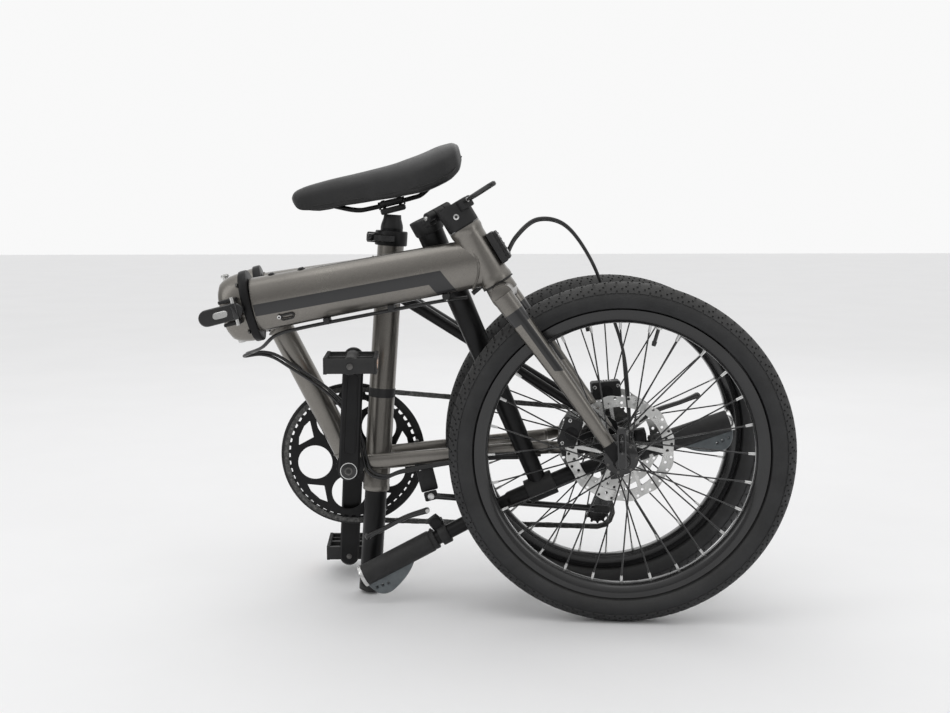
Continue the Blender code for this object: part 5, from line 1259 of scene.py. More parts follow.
def build_seatpost():
    post = Piece("seatpost_tube", "seatpost_assembly")
    profile = [(0.0149, -0.192), (0.0170, -0.192), (0.0170, SEATPOST_TOP - 0.0005),
               (0.0166, SEATPOST_TOP), (0.0149, SEATPOST_TOP)]
    post.add(lathe(profile, SEAT_FOOT, SEAT_DIR, 64, closed=True), "black_anodised")
    for k in range(9):
        # Short height marks on the back of the post
        spot = along_seat(-0.150 + 0.010 * k) + SEAT_BACK * 0.0170
        post.add(block(spot, (0.0003, 0.0070 if k % 2 else 0.0110, 0.0007), SEAT_DIR, SEAT_BACK, 0.0), "light_mark")
    post.done("black_alloy", ["seatpost"])

    foot = Piece("seatpost_plug", "seatpost_assembly")
    height = WHEEL_RADIUS + along_seat(-0.192).dot(CRANK_UP)
    run = (height - 0.030) / SEAT_DIR.dot(CRANK_UP)
    edge = math.asin(0.0170 / 0.030)
    profile = [(0.0, 0.010), (0.0140, 0.010), (0.0145, -0.0003), (0.0170, -0.0003), (0.0170, -0.0016), (0.0163, -0.0022),
               (0.0170, -0.0028)]
    profile += [(0.030 * math.sin(edge * (1 - k / 8)), -run - 0.030 * math.cos(edge * (1 - k / 8))) for k in range(8)]
    profile.append((0.0, -run - 0.030))
    foot.add(lathe(profile, along_seat(-0.192), SEAT_DIR, 64), "moulded_black")
    foot.done("rubber", ["seatpost_foot"])

    clamp = Piece("saddle_cradle", "seatpost_assembly")
    top = along_seat(SEATPOST_TOP)
    profile = [(0.0, -0.004), (0.0168, -0.004), (0.0170, 0.0006), (0.0164, 0.0050), (0.0136, 0.0140), (0.0130, 0.0200),
               (0.0, 0.0200)]
    clamp.add(lathe(profile, top, SEAT_DIR, 48), "black_cast")
    head = top + SEAT_DIR * 0.030
    clamp.add(block(head - Z * 0.0020, (0.0380, 0.0520, 0.0090), Z, X, 0.0026), "black_cast")
    clamp.add(block(head + Z * 0.0102, (0.0360, 0.0530, 0.0072), Z, X, 0.0026), "black_cast")
    for k in (-1, 1):
        for side in (-1, 1):
            clamp.add(rod(head + Vector((k * 0.0180, side * 0.021, 0.0075)), head + Vector((k * 0.0200, side * 0.021, 0.0075)),
                          0.0058, segments=24), "black_cast")
        spot = head + X * k * 0.0125
        clamp.add(rod(spot - Z * 0.0060, spot + Z * 0.0150, 0.0028, segments=16), "dark_steel")
        clamp.add(rod(spot - Z * 0.0066, spot - Z * 0.0046, 0.0042, segments=6), "bright_alloy")
    clamp.done("black_alloy", ["saddle_clamp"])


# ---------------------------------------------------------------- front frame


def build_front_frame():
    beam = Piece("front_beam", "front_frame")
    start = HINGE - X * 0.0478
    end = along_head(0.052)
    beam.add(oval_loft(start, end, (0.050, 0.078), (0.042, 0.069), steps=6, segments=64), "beam_paint")
    beam.done("frame_paint", ["front_main_tube"], drawing=lambda p: (p.x, p.z))
    toward = (end - start).normalized()
    fittings = Piece("beam_fittings", "front_frame")
    fittings.add(bead(oval_points(start + toward * 0.0012, toward, 0.0251, 0.0391), 0.0011), "weld_paint")
    weld = []
    for point in oval_points(end - toward * 0.0240, toward, 0.0213, 0.0348, 40):
        # The weld follows the round of the head tube, so it wraps back at the sides.
        share = abs(point.y) / 0.0213
        weld.append(point + toward * 0.0155 * share ** 2)
    fittings.add(bead(weld, 0.0019, 0.0042), "weld_paint")
    for x in (-0.578, -0.622):
        level = Vector((x, 0, HINGE.z + 0.0378 - 0.0058 * (x + 0.545) / -0.1))
        fittings.add(rod(level - Z * 0.003, level + Z * 0.0012, 0.0062, segments=28, round_by=0.0006), "black_anodised")
        bolt(fittings, level + Z * 0.0012, Z, 0.0044, 0.0022, "black_gloss")
    side = Vector((-0.585, 0.0236, 0.3275))
    bolt(fittings, (-0.5790, 0.0240, 0.3085), (0, 1, -0.35), 0.0032, 0.0016)
    fittings.add(cutout([slot_outline((-0.006, 0), (0.006, 0), 0.0046, 8), slot_outline((-0.006, 0), (0.006, 0), 0.0026, 8)],
                        0.0028, facing((-0.5905, 0.0226, 0.3060), (0, 1, -0.40), X), 0.0006), "moulded_black")
    for x in (-0.640, -0.735, -0.815):
        share = (x - start.x) / (end.x - start.x)
        low = start.lerp(end, share).z - 0.039 + 0.0045 * share
        fittings.add(block((x, 0.0, low - 0.0035), (0.0090, 0.0200, 0.0090), Z, X, 0.0018), "moulded_black")
        bolt(fittings, (x, 0.0, low - 0.0078), -Z, 0.0026, 0.0014)
    fittings.done("frame_paint")

    head = Piece("head_tube_painted", "front_frame")
    profile = [(0.0155, 0.0180), (0.0232, 0.0180), (0.0236, 0.0190), (0.0236, 0.0245), (0.0226, 0.0285), (0.0220, 0.0320),
               (0.0220, 0.0940), (0.0226, 0.0975), (0.0236, 0.1015), (0.0236, 0.1070), (0.0232, 0.1080), (0.0155, 0.1080)]
    head.add(lathe(profile, HEAD_FOOT, HEAD_DIR, 80, closed=True), "bronze_paint")
    head.add(lathe([(0.0158, 0.1080), (0.0236, 0.1080), (0.0236, 0.1088), (0.0158, 0.1088)], HEAD_FOOT, HEAD_DIR, 64,
                   closed=True), "black_anodised")
    head.done("frame_paint", ["head_tube"])

    casting = Piece("front_hinge", "front_frame")
    hinge_half(casting, -1, "bronze_paint")
    knuckle(casting, -1, -0.018, 0.018, "black_cast")
    for z in (-1, 1):
        casting.add(block((HINGE.x - 0.0180, 0.0300, HINGE.z + z * 0.0165), (0.0260, 0.0180, 0.0050), Z, X, 0.0014), "black_cast")
    casting.add(rod((HINGE.x - 0.026, 0.0385, HINGE.z - 0.0205), (HINGE.x - 0.026, 0.0385, HINGE.z + 0.0205), 0.0028,
                    segments=16), "brushed_steel")
    casting.done("frame_paint", ["front_hinge_casting"])

    mount = Piece("luggage_socket", "front_frame")
    front = -HEAD_BACK
    middle = along_head(0.060)
    mount.add(block(middle + front * 0.0255, (0.0100, 0.0330, 0.0470), HEAD_DIR, HEAD_BACK, 0.0022), "moulded_black")
    mount.add(block(middle + front * 0.0310, (0.0090, 0.0250, 0.0440), HEAD_DIR, HEAD_BACK, 0.0020), "moulded_black")
    for k in range(5):
        spot = middle + front * 0.0352 + HEAD_DIR * (-0.0160 + 0.0080 * k)
        mount.add(block(spot, (0.0014, 0.0330 - 0.004 * (k % 2), 0.0030), HEAD_DIR, HEAD_BACK, 0.0005), "moulded_black")
    for k in (-1, 1):
        bolt(mount, middle + front * 0.0352 + HEAD_DIR * 0.0125 * k, front, 0.0036, 0.0012, "bright_alloy")
    mount.done("black_plastic", ["luggage_block"])


def build_frame_latch():
    latch = Piece("frame_latch", "frame_latch_lever")
    pivot = Vector((HINGE.x - 0.026, 0.0385, HINGE.z))
    reach = (X + Y * 0.22).normalized()
    place = facing(pivot, Y - X * 0.22, reach)
    latch.add(cutout([slot_outline((0, 0), (0.0400, 0), 0.0120, 10)], 0.0068, place, 0.0014), "black_gloss")
    latch.add(cutout([slot_outline((0.0150, 0), (0.0270, 0), 0.0048, 8)], 0.0082, place, 0.0007), "brushed_steel")
    latch.add(rod(pivot - Z * 0.0115, pivot + Z * 0.0115, 0.0055, segments=32, round_by=0.0008), "black_gloss")
    latch.done("black_alloy", ["frame_latch_lever"])


def build_fork():
    fork = Piece("fork_painted", "fork_assembly")
    rings = []
    for step in range(13):
        y = -0.0500 + 0.1000 * step / 12
        swell = 0.0158 + 0.0014 * math.cos(y / 0.050 * math.pi / 2) ** 2
        rings.append((HEAD_FOOT + Y * y, Y, swell, swell))
    fork.add(loft(rings, 48, 2.3, HEAD_BACK), "bronze_paint")
    fork.add(rod(HEAD_FOOT, along_head(0.0165), 0.0215, 0.0205, segments=48, round_by=0.0012), "bronze_paint")
    fork.add(rod(along_head(0.0160), along_head(0.0176), 0.0238, segments=64, round_by=0.0004), "moulded_black")
    fork.add(rod(HEAD_FOOT, along_head(0.140), 0.0143, segments=40), "dark_steel")
    for side in (-1, 1):
        foot = Vector((FRONT_AXLE.x + 0.012, side * 0.0525, 0.030))
        start = HEAD_FOOT + Y * side * 0.048
        middle = start.lerp(foot, 0.5) - HEAD_BACK * 0.0015
        path = smooth_path([start, middle, foot], 14)
        rings = []
        for index, point in enumerate(path):
            share = index / 13
            along = path[min(index + 1, 13)] - path[max(index - 1, 0)]
            size = 0.0150 + (0.0090 - 0.0150) * share
            rings.append((point, along, size * 0.94, size * 1.02))
        fork.add(loft(rings, 48, 2.3, Y), "blade_paint")
        fork.add(rod(start + Y * side * 0.004, start - Y * side * 0.004, 0.0150, segments=40, round_by=0.002), "bronze_paint")
        outline = [(-0.010, 0.000), (-0.0095, -0.005), (-0.007, -0.008), (0.007, -0.008), (0.0095, -0.005), (0.011, 0.0),
                   (0.019, 0.020), (0.026, 0.040), (0.010, 0.046)]
        plate = cutout([outline, circle(0.0050, 24)], 0.0050, across_bike(FRONT_AXLE + Y * side * 0.0525), 0.0008)
        fork.add(plate, "black_anodised")
    down = (Vector((FRONT_AXLE.x + 0.012, 0, 0.030)) - HEAD_FOOT).normalized()
    across = down.cross(Y)
    fork.done("black_alloy", ["fork"], drawing=lambda p: ((p - HEAD_FOOT).dot(down), (p - HEAD_FOOT).dot(across)))

    axle = Piece("front_skewer", "fork_assembly")
    axle.add(rod(FRONT_AXLE - Y * 0.061, FRONT_AXLE + Y * 0.0615, 0.0046, segments=24, round_by=0.0006), "brushed_steel")
    nut = FRONT_AXLE - Y * 0.0600
    axle.add(rod(nut - Y * 0.0045, nut + Y * 0.0045, 0.0068, segments=24, round_by=0.0012), "black_gloss")
    cam = FRONT_AXLE + Y * 0.0586
    axle.add(rod(cam - Y * 0.0032, cam + Y * 0.0032, 0.0090, segments=32, round_by=0.0010), "black_gloss")
    axle.done("steel", ["front_axle"])
    build_caliper("front_caliper", "fork_assembly", FRONT_AXLE, -0.0340, Vector((0.84, 0, 0.5426)), "front_brake_caliper")

    lever = Piece("front_quick_lever", "front_qr_lever")
    pivot = FRONT_AXLE + Y * 0.0695
    place = facing(pivot, Y, Vector((-0.20, 0, 0.98)))
    outlines = [slot_outline((0, 0), (0.048, 0), 0.0060, 10), slot_outline((0.020, 0), (0.041, 0), 0.0026, 8)]
    lever.add(cutout(outlines, 0.0060, place, 0.0015), "black_gloss")
    lever.done("black_alloy", ["front_qr_lever"])

    base = Piece("handlepost_foot", "fork_assembly")
    profile = [(0.0146, 0.1090), (0.0228, 0.1090), (0.0235, 0.1100), (0.0235, 0.1430), (0.0230, 0.1445), (0.0146, 0.1445)]
    base.add(lathe(profile, HEAD_FOOT, HEAD_DIR, 64, closed=True), "black_cast")
    base.add(rod(POST_PIN - POST_AXIS * 0.009, POST_PIN + POST_AXIS * 0.009, 0.0072, segments=32, round_by=0.0008), "black_cast")
    base.add(block(POST_PIN + POST_INWARD * 0.007 - POST_UP * 0.0070, (0.0158, 0.0178, 0.0120), POST_UP, POST_INWARD, 0.002),
             "black_cast")
    base.add(rod(POST_PIN - POST_AXIS * 0.027, POST_PIN + POST_AXIS * 0.027, 0.0030, segments=24, round_by=0.0005), "brushed_steel")
    lug = POST_LEVEL + POST_INWARD * 0.026 - POST_UP * 0.010
    base.add(block(lug, (0.0158, 0.0198, 0.0158), POST_UP, POST_INWARD, 0.0022), "black_cast")
    bolt(base, along_head(0.126) + Y * 0.0228, Y, 0.0046, 0.0020)
    bolt(base, along_head(0.126) - Y * 0.0228, -Y, 0.0046, 0.0020)
    base.done("black_alloy", ["handlepost_base"])

    latch = Piece("handlepost_latch", "handlepost_latch_lever")
    pivot = POST_LEVEL + POST_INWARD * 0.0435 - POST_UP * 0.008
    place = facing(pivot, POST_UP, POST_INWARD)
    latch.add(cutout([slot_outline((0, 0), (0.046, 0), 0.0080, 10), slot_outline((0.012, 0), (0.040, 0), 0.0030, 8)], 0.0068,
                     place, 0.0016), "black_gloss")
    latch.add(rod(pivot - POST_AXIS * 0.0078, pivot + POST_AXIS * 0.0078, 0.0034, segments=24, round_by=0.0005), "brushed_steel")
    latch.done("black_alloy", ["handlepost_latch_lever"])


# ---------------------------------------------------------------- handlepost


def bar_point(y):
    return BAR_CENTRE + Y * y + HEAD_DIR * 0.020 * max(0.0, (abs(y) - 0.05) / 0.25)


def build_handlepost():
    post = Piece("handlepost_tube", "handlepost_assembly")
    start = POST_LEVEL + HEAD_DIR * 0.0015
    profile = [(0.0, 0.0), (0.0228, 0.0), (0.0235, 0.0010), (0.0232, 0.0060), (0.0218, 0.0200), (0.0205, 0.0225), (0.0, 0.0225)]
    post.add(lathe(profile, start, HEAD_DIR, 64), "black_cast")
    post.add(rod(start + HEAD_DIR * 0.010, BAR_CENTRE, 0.0195, 0.0130, segments=48), "black_anodised")
    clamp = [(0.0129, -0.0220), (0.0174, -0.0220), (0.0182, -0.0210), (0.0182, 0.0210), (0.0174, 0.0220), (0.0129, 0.0220)]
    post.add(lathe(clamp, BAR_CENTRE, Y, 64, closed=True), "black_cast")
    for k in (-1, 1):
        bolt(post, BAR_CENTRE + Y * k * 0.0135 - HEAD_BACK * 0.0178, -HEAD_BACK, 0.0030, 0.0016)
        centre = POST_PIN + POST_AXIS * k * 0.0165
        post.add(rod(centre - POST_AXIS * 0.0068, centre + POST_AXIS * 0.0068, 0.0072, segments=32, round_by=0.0008), "black_cast")
        web = centre + POST_INWARD * 0.007 + POST_UP * 0.0070
        post.add(block(web, (0.0158, 0.0134, 0.0118), POST_UP, POST_INWARD, 0.0018), "black_cast")
    post.done("black_alloy", ["handlepost"])

    bar = Piece("handlebar_tube", "handlepost_assembly")
    bar.add(pipe([bar_point(-0.05 + 0.01 * k) for k in range(11)], 0.0127, 40, side=HEAD_DIR), "black_anodised")
    for side in (-1, 1):
        bar.add(pipe([bar_point(side * y) for y in (0.046, 0.06, 0.18, 0.300)], 0.0110, 32, side=HEAD_DIR), "black_anodised")
        bar.add(rod(bar_point(side * 0.0490), bar_point(side * 0.0540), 0.0127, 0.0110, segments=40), "black_anodised")
    bar.done("black_alloy", ["handlebar"])
    for side, word in ((-1, "left"), (1, "right")):
        build_grip(side, word)
        build_brake(side, word)


def bar_end(side):
    tip = bar_point(side * BAR_HALF)
    return tip, (tip - bar_point(side * 0.1)).normalized()


def build_grip(side, word):
    tip, out = bar_end(side)
    inner, end = tip - out * 0.125, tip + out * 0.003
    grip = Piece(f"hand_grip_{word}", "handlepost_assembly")
    length = (end - inner).length
    profile = [(0.0113, 0.0), (0.0150, 0.0), (0.0155, 0.0006), (0.0155, 0.0060), (0.0150, 0.0065), (0.0150, 0.0075)]
    profile += [(0.0160, 0.0085), (0.0164, 0.0100)]
    profile += [(0.0164, 0.1010), (0.0164, length - 0.003), (0.0140, length), (0.0, length)]
    profile = [p for p in profile if p[1] <= length]
    grip.add(lathe([*profile, (0.0, length - 0.0006), (0.0113, length - 0.0006)], inner, out, 48, closed=True), "grip_rubber")
    ring = inner + out * (length - 0.0062)
    grip.add(lathe([(0.0150, 0.0), (0.0166, 0.0), (0.0168, 0.0006), (0.0168, 0.0046), (0.0166, 0.0052),
                    (0.0150, 0.0052)], ring, out, 48, closed=True), "bright_alloy")
    screw = inner + out * 0.0036
    grip.add(rod(screw - HEAD_DIR * 0.0160, screw - HEAD_DIR * 0.0176, 0.0020, segments=12), "dark_steel")
    outline = smooth_outline([(0.000, -0.006), (0.014, -0.022), (0.036, -0.034), (0.060, -0.0405), (0.076, -0.034),
                              (0.085, -0.014), (0.0855, 0.002), (0.050, 0.006), (0.010, 0.004)])
    holes = [circle(0.0022, 4, (0.056 + 0.009 * k, -0.0265 + 0.0012 * k), math.pi / 4) for k in range(3)]
    # Drawn with x outwards along the bar; both wings stand up towards the top of the post.
    flip = 1 if side < 0 else -1
    outlines = [[(a, b * flip) for a, b in line] for line in (outline, *holes)]
    place = facing(end - out * 0.088, HEAD_BACK, out)
    grip.add(cutout(outlines, 0.0118, place, 0.0014), "grip_wing")
    grip.done("rubber", [f"grip_{word}"])


def smooth_outline(points, count=72):
    """A closed curve through the points given."""
    made = []
    total = len(points)
    for number in range(count):
        place = number / count * total
        index = int(place)
        t = place - index
        a, b, c, d = (Vector(points[(index + k) % total]) for k in (-1, 0, 1, 2))
        spot = b + (c - a) * (t / 2) + (a * 2 - b * 5 + c * 4 - d) * (t * t / 2) + (b * 3 - a - c * 3 + d) * (t ** 3 / 2)
        made.append((spot.x, spot.y))
    return made


def build_brake(side, word):
    tip, out = bar_end(side)
    spot = tip - out * 0.139
    pivot = tip - out * 0.130 - HEAD_DIR * 0.038
    perch = Piece(f"brake_bracket_{word}", "handlepost_assembly")
    profile = [(0.0113, -0.0070), (0.0150, -0.0070), (0.0155, -0.0062), (0.0155, 0.0062), (0.0150, 0.0070), (0.0113, 0.0070)]
    perch.add(lathe(profile, spot, out, 48, closed=True), "black_cast")
    along = spot - pivot
    low, high = pivot + along.normalized() * 0.0055, spot - along.normalized() * 0.009
    side_way = out
    perch.add(loft([(low, along, 0.0085, 0.0052), (low.lerp(high, 0.35), along, 0.0100, 0.0060),
                    (low.lerp(high, 0.8), along, 0.0095, 0.0062), (high, along, 0.0070, 0.0055)], 32, 3.0, side_way), "black_cast")
    perch.add(rod(low.lerp(high, 0.45) - HEAD_BACK * 0.0066, low.lerp(high, 0.45) + HEAD_BACK * 0.0066, 0.0088, segments=40,
                  round_by=0.0010), "black_anodised")
    bolt(perch, low.lerp(high, 0.45) - HEAD_BACK * 0.0062, -HEAD_BACK, 0.0034, 0.0012)
    bolt(perch, spot - HEAD_BACK * 0.0150, -HEAD_BACK, 0.0026, 0.0014)
    barrel = low.lerp(high, 0.45) - out * 0.0085
    perch.add(rod(barrel, barrel - out * 0.0030, 0.0045, segments=24, round_by=0.0008), "black_gloss")
    perch.done("black_alloy", [f"brake_perch_{word}"])

    lever = Piece(f"brake_blade_{word}", f"brake_lever_{word}")
    start = pivot - HEAD_DIR * 0.007
    bend = start + out * 0.070 - HEAD_DIR * 0.006
    end = bend + out * 0.028 - HEAD_DIR * 0.001
    path = smooth_path([start, (start + bend) / 2 - HEAD_DIR * 0.003, bend, end - out * 0.010, end - HEAD_DIR * 0.0006], 30)
    rings = []
    for index, point in enumerate(path):
        along = path[min(index + 1, 29)] - path[max(index - 1, 0)]
        share = index / 29
        wide = 0.0050 - 0.0010 * math.sin(math.pi * share) + (0.0004 if share > 0.9 else 0)
        rings.append((point, along, wide, 0.0046 - 0.0012 * math.sin(math.pi * share)))
    lever.add(loft(rings, 28, 2.6, HEAD_BACK), "black_gloss")
    tip_ball = bmesh.new()
    bmesh.ops.create_uvsphere(tip_ball, u_segments=24, v_segments=12, radius=0.0052)
    bmesh.ops.translate(tip_ball, vec=end, verts=tip_ball.verts)
    lever.add(tip_ball, "black_gloss")
    lever.add(rod(start - HEAD_BACK * 0.0050, start + HEAD_BACK * 0.0050, 0.0034, segments=24, round_by=0.0005), "brushed_steel")
    lever.done("black_alloy", [f"brake_lever_{word}"])


# ---------------------------------------------------------------- cables


def cable_piece(name, body, paths, radius, slot="rubber", replaces=()):
    """Round sleeves along paths that are already in their folded place."""
    piece = Piece(name, body)
    for path in paths:
        piece.add(pipe(path, radius, 12), "cable_sleeve")
    piece.shape.transform(PLACES[body].inverted())
    return piece.done(slot, replaces)


def build_cables(style):
    radius = style.cable_radius
    under = [(-0.842, -0.020, 0.2690), (-0.800, -0.006, 0.2745), (-0.700, 0.000, 0.2800), (-0.600, 0.000, 0.2840),
             (-0.560, -0.004, 0.2820), (-0.530, -0.022, 0.2680)]
    back = [(-0.500, -0.040, 0.2600), (-0.478, -0.032, 0.2560), (-0.460, -0.027, 0.2460), (-0.440, -0.0255, 0.2250),
            (-0.400, -0.0265, 0.1800), (-0.377, -0.030, 0.1400), (-0.367, -0.036, 0.090), (-0.366, -0.040, 0.045),
            (-0.345, -0.042, 0.028), (-0.310, -0.044, 0.030), (-0.200, -0.052, 0.022), (-0.110, -0.058, 0.004)]
    runs = {"under": [], "loop": [], "back": []}
    for k in (-1, 1):
        offset = Vector((0, 0.0029 * k, 0))
        lift = Vector((0.0026 * k, 0, 0.0012 * k))
        points = [FRONT @ (Vector(p) + offset) for p in under] + [REAR @ (Vector(p) + lift) for p in back]
        path = smooth_path(points, 171)
        runs["under"].append(path[:41])
        runs["loop"].append(path[40:81])
        runs["back"].append(path[80:])
    cable_piece("beam_cables", "front_frame", runs["under"], radius)
    cable_piece("brace_cables", "rear_frame", runs["back"], radius, replaces=["frame_cables"])
    loop = Piece("hinge_cables", "rear_frame")
    for path in runs["loop"]:
        loop.add(pipe(path, radius, 12), "cable_sleeve")
    loop.shape.transform(REAR.inverted())
    loop_mesh = loop.done("rubber", blended=True)
    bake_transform(loop_mesh)

    tip, out = bar_end(-1)
    perch = tip - out * 0.130 - HEAD_DIR * 0.038
    first = POST @ (perch + Vector((0.010, 0.020, 0.016)))
    rest = [(-1.040, -0.070, 0.120), (-1.036, -0.068, 0.200), (-1.026, -0.066, 0.275), (-1.002, -0.062, 0.333),
            (-0.965, -0.050, 0.352), (-0.930, -0.036, 0.336), (-0.905, -0.030, 0.308), (-0.880, -0.029, 0.288),
            (-0.850, -0.027, 0.272)]
    for number, k in enumerate((-1, 1), 1):
        offset = Vector((0, 0.0030 * k, 0.0012 * k))
        points = [first + FRONT.to_3x3() @ offset] + [FRONT @ (Vector(p) + offset) for p in rest]
        path = smooth_path(points, 121)
        obj = cable_piece(f"bar_cable_{number}", "front_frame", [path], radius,
                          replaces=["bar_cables"] if number == 1 else ())


# ---------------------------------------------------------------- stage


def area_light(name, place, target, size, power):
    data = bpy.data.lights.new(name, "AREA")
    data.shape = "RECTANGLE"
    data.size, data.size_y = size
    data.energy = power
    obj = bpy.data.objects.new(name, data)
    bpy.context.scene.collection.objects.link(obj)
    obj.location = place
    obj.rotation_euler = (Vector(target) - Vector(place)).to_track_quat("-Z", "Y").to_euler()
    return obj


def build_stage(style):
    """A pale floor, a white surround, soft lamps and the camera."""
    world = bpy.data.worlds.new("studio")
    world.use_nodes = True
    tree = world.node_tree
    back = tree.nodes["Background"]
    back.inputs["Color"].default_value = (*style.surround_colour, 1.0)
    # The backdrop is even white to the eye, while its light comes mostly from above and behind.
    way = put(tree, "ShaderNodeSeparateXYZ", Vector=put(tree, "ShaderNodeTexCoord").outputs["Generated"])
    above = put(tree, "ShaderNodeMapRange", Value=way.outputs["Z"], From_Min=-0.2, From_Max=0.8, To_Min=0.20,
                To_Max=1.10).outputs["Result"]
    behind = put(tree, "ShaderNodeMapRange", Value=way.outputs["Y"], From_Min=0.0, From_Max=1.0, To_Min=0.0,
                 To_Max=0.55).outputs["Result"]
    glow = sum_of(tree, "MULTIPLY", sum_of(tree, "ADD", above, behind), style.surround_strength)
    seen = put(tree, "ShaderNodeLightPath").outputs["Is Camera Ray"]
    unseen = sum_of(tree, "SUBTRACT", 1.0, seen)
    strength = sum_of(tree, "MULTIPLY_ADD", glow, unseen, sum_of(tree, "MULTIPLY", seen, style.backdrop_white))
    tree.links.new(strength, back.inputs["Strength"])
    bpy.context.scene.world = world
    bpy.context.scene.view_settings.view_transform = "Standard"

    shape = bmesh.new()
    bmesh.ops.create_grid(shape, x_segments=2, y_segments=2, size=12.0)
    mesh = bpy.data.meshes.new("studio_floor")
    shape.to_mesh(mesh)
    shape.free()
    paint("studio_paper", (*style.floor_colour, 1.0), tuple(c * 0.985 for c in style.floor_colour) + (1.0,),
          rough=(0.75, 0.85), scale=3.0, grain=260.0, bump=0.02, dust=0.0)
    mesh.materials.append(PAINTS["studio_paper"])
    floor = bpy.data.objects.new("studio_floor", mesh)
    bpy.context.scene.collection.objects.link(floor)
    middle = Vector((0, 0, 0.35))
    lamps = [
        area_light("top_lamp", (-0.3, -0.6, 2.6), middle, (2.2, 1.6), 9 * style.lamp_strength),
        area_light("left_lamp", (-2.6, -1.4, 1.6), middle, (1.0, 1.8), 7 * style.lamp_strength),
        area_light("right_lamp", (2.4, -1.8, 1.4), middle, (0.9, 1.6), 5 * style.lamp_strength),
        area_light("back_lamp", (0.6, 2.4, 1.9), middle, (2.0, 1.0), 5 * style.lamp_strength),
    ]
    data = bpy.data.cameras.new("camera")
    data.lens = 49.22
    data.sensor_width = 36.0
    camera = bpy.data.objects.new("camera", data)
    bpy.context.scene.collection.objects.link(camera)
    camera.location = (AXLE_AT_REST.x - 0.2823, AXLE_AT_REST.y - 1.9823, 0.6148)
    camera.rotation_euler = (math.radians(90 - 7.03), 0, math.radians(-2.30))
    bpy.context.scene.camera = camera


# ---------------------------------------------------------------- add-on


class BicycleStyle(bpy.types.PropertyGroup):
    """The colours and sizes that a user would change."""

    frame_colour: bpy.props.FloatVectorProperty(
        name="Frame colour", description="Paint of the frame and fork", subtype="COLOR", size=3, min=0, max=1,
        default=(0.208, 0.196, 0.178))
    stripe_colour: bpy.props.FloatVectorProperty(
        name="Stripe colour", description="Painted band on the beam and fork", subtype="COLOR", size=3, min=0, max=1,
        default=(0.012, 0.012, 0.013))
    black_colour: bpy.props.FloatVectorProperty(
        name="Fitting colour", description="Anodised and painted black fittings", subtype="COLOR", size=3, min=0, max=1,
        default=(0.0105, 0.0105, 0.0112))
    tyre_colour: bpy.props.FloatVectorProperty(
        name="Tyre colour", description="Rubber of both tyres", subtype="COLOR", size=3, min=0, max=1,
        default=(0.0150, 0.0155, 0.0168))
    wing_colour: bpy.props.FloatVectorProperty(
        name="Grip wing colour", description="Flat palm rest of each grip", subtype="COLOR", size=3, min=0, max=1,
        default=(0.135, 0.155, 0.165))
    reflector_colour: bpy.props.FloatVectorProperty(
        name="Reflector colour", description="Lenses in the pedals", subtype="COLOR", size=3, min=0, max=1,
        default=(0.80, 0.30, 0.02))
    floor_colour: bpy.props.FloatVectorProperty(
        name="Floor colour", description="Paper under the bicycle", subtype="COLOR", size=3, min=0, max=1,
        default=(0.90, 0.90, 0.905))
    surround_colour: bpy.props.FloatVectorProperty(
        name="Surround colour", description="Light that comes from all round", subtype="COLOR", size=3, min=0, max=1,
        default=(1.0, 1.0, 1.0))
    surround_strength: bpy.props.FloatProperty(
        name="Surround strength", description="Brightness of the surround", default=0.80, min=0)
    backdrop_white: bpy.props.FloatProperty(
        name="Backdrop white", description="Brightness of the backdrop as it is seen", default=0.945, min=0, max=1)
    lamp_strength: bpy.props.FloatProperty(name="Lamp strength", description="Brightness of the lamps", default=1.0, min=0)
    spoke_radius: bpy.props.FloatProperty(
        name="Spoke radius", description="Half the thickness of a spoke", default=0.00115, unit="LENGTH")
    cable_radius: bpy.props.FloatProperty(
        name="Cable radius", description="Half the thickness of a cable sleeve", default=0.0024, unit="LENGTH")
    tread_pitches: bpy.props.IntProperty(
        name="Tread pitches", description="Repeats of the tread round a tyre", default=96, min=24)
    saddle_fill: bpy.props.FloatProperty(
        name="Saddle fill", description="How tight the saddle padding is", default=0.95, min=0, max=1, subtype="FACTOR")


def run_paints(style):
    make_paints(style)


def run_rear_wheel(style):
    build_wheel("rear", REAR_AXLE, -0.0455, 0.0645, -0.032, 0.022, 0.0163, style)


def run_front_wheel(style):
    build_wheel("front", FRONT_AXLE, -0.0345, 0.0485, -0.024, 0.024, 0.0130, style)


def run_drive(style):
    build_crankset(style)
    build_chain()
    build_cassette()
    build_derailleur()


def run_rear_frame(style):
    build_rear_frame(style)
    build_kickstand()


def run_seat(style):
    build_seat_lever()
    build_seatpost()
    build_saddle()


def run_front_frame(style):
    build_front_frame()
    build_frame_latch()


def run_fork(style):
    build_fork()


def run_handlepost(style):
    build_handlepost()


def run_cables(style):
    build_cables(style)


def run_stage(style):
    build_stage(style)


class BicycleStep:
    """What the operators share: each runs one builder with the style of the scene."""

    bl_options = {"REGISTER"}

    def execute(self, context):
        type(self).build(context.scene.bicycle_style)
        return {"FINISHED"}


class BICYCLE_OT_paints(BicycleStep, bpy.types.Operator):
    """Makes every paint, metal, rubber and plastic finish."""

    bl_idname = "bicycle.paints"
    bl_label = "Paints"
    build = staticmethod(run_paints)


class BICYCLE_OT_rear_wheel(BicycleStep, bpy.types.Operator):
    """Builds the rear tyre, rim, hub, spokes and brake disc."""

    bl_idname = "bicycle.rear_wheel"
    bl_label = "Rear wheel"
    build = staticmethod(run_rear_wheel)


class BICYCLE_OT_front_wheel(BicycleStep, bpy.types.Operator):
    """Builds the front tyre, rim, hub, spokes and brake disc."""

    bl_idname = "bicycle.front_wheel"
    bl_label = "Front wheel"
    build = staticmethod(run_front_wheel)


class BICYCLE_OT_drive(BicycleStep, bpy.types.Operator):
    """Builds the cranks, pedals, chain, sprockets and gear changer."""

    bl_idname = "bicycle.drive"
    bl_label = "Drive"
    build = staticmethod(run_drive)


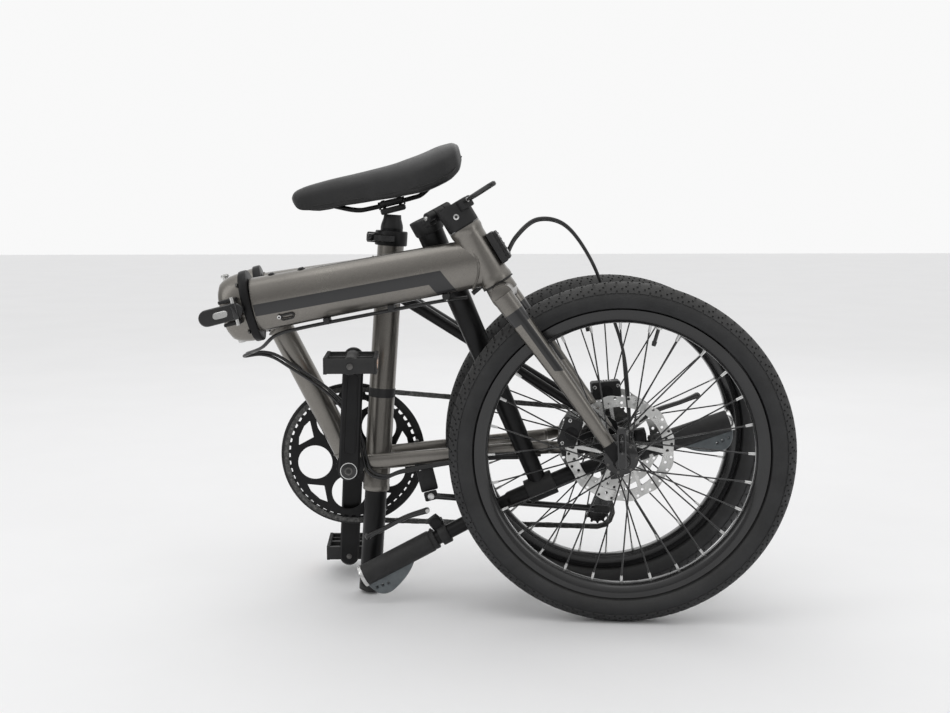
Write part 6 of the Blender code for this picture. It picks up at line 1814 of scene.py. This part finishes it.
class BICYCLE_OT_rear_frame(BicycleStep, bpy.types.Operator):
    """Builds the rear half of the frame, its brake and its side stand."""

    bl_idname = "bicycle.rear_frame"
    bl_label = "Rear frame"
    build = staticmethod(run_rear_frame)


class BICYCLE_OT_seat(BicycleStep, bpy.types.Operator):
    """Builds the seatpost, its clamp lever and the saddle."""

    bl_idname = "bicycle.seat"
    bl_label = "Seat"
    build = staticmethod(run_seat)


class BICYCLE_OT_front_frame(BicycleStep, bpy.types.Operator):
    """Builds the front half of the frame, its hinge and its latch."""

    bl_idname = "bicycle.front_frame"
    bl_label = "Front frame"
    build = staticmethod(run_front_frame)


class BICYCLE_OT_fork(BicycleStep, bpy.types.Operator):
    """Builds the fork, its axle and brake, and the foot of the handlepost."""

    bl_idname = "bicycle.fork"
    bl_label = "Fork"
    build = staticmethod(run_fork)


class BICYCLE_OT_handlepost(BicycleStep, bpy.types.Operator):
    """Builds the handlepost, the bar, the grips and the brake levers."""

    bl_idname = "bicycle.handlepost"
    bl_label = "Handlepost"
    build = staticmethod(run_handlepost)


class BICYCLE_OT_cables(BicycleStep, bpy.types.Operator):
    """Builds the control cables."""

    bl_idname = "bicycle.cables"
    bl_label = "Cables"
    build = staticmethod(run_cables)


class BICYCLE_OT_stage(BicycleStep, bpy.types.Operator):
    """Builds the floor, the lamps and the camera."""

    bl_idname = "bicycle.stage"
    bl_label = "Stage"
    build = staticmethod(run_stage)


OPERATORS = (
    BICYCLE_OT_paints, BICYCLE_OT_rear_wheel, BICYCLE_OT_front_wheel, BICYCLE_OT_drive, BICYCLE_OT_rear_frame,
    BICYCLE_OT_seat, BICYCLE_OT_front_frame, BICYCLE_OT_fork, BICYCLE_OT_handlepost, BICYCLE_OT_cables, BICYCLE_OT_stage,
)


class BICYCLE_PT_panel(bpy.types.Panel):
    """Lists the steps that build the bicycle, with its colours and sizes."""

    bl_idname = "BICYCLE_PT_panel"
    bl_label = "Folding bicycle"
    bl_space_type = "VIEW_3D"
    bl_region_type = "UI"
    bl_category = "Bicycle"

    def draw(self, context):
        style = context.scene.bicycle_style
        for name in BicycleStyle.__annotations__:
            self.layout.prop(style, name)
        for operator in OPERATORS:
            self.layout.operator(operator.bl_idname)


CLASSES = (BicycleStyle, *OPERATORS, BICYCLE_PT_panel)


def register():
    for cls in CLASSES:
        bpy.utils.register_class(cls)
    bpy.types.Scene.bicycle_style = bpy.props.PointerProperty(type=BicycleStyle)


def unregister():
    del bpy.types.Scene.bicycle_style
    for cls in reversed(CLASSES):
        bpy.utils.unregister_class(cls)


def main():
    register()
    for operator in OPERATORS:
        group, name = operator.bl_idname.split(".")
        getattr(getattr(bpy.ops, group), name)()


if __name__ == "__main__":
    main()
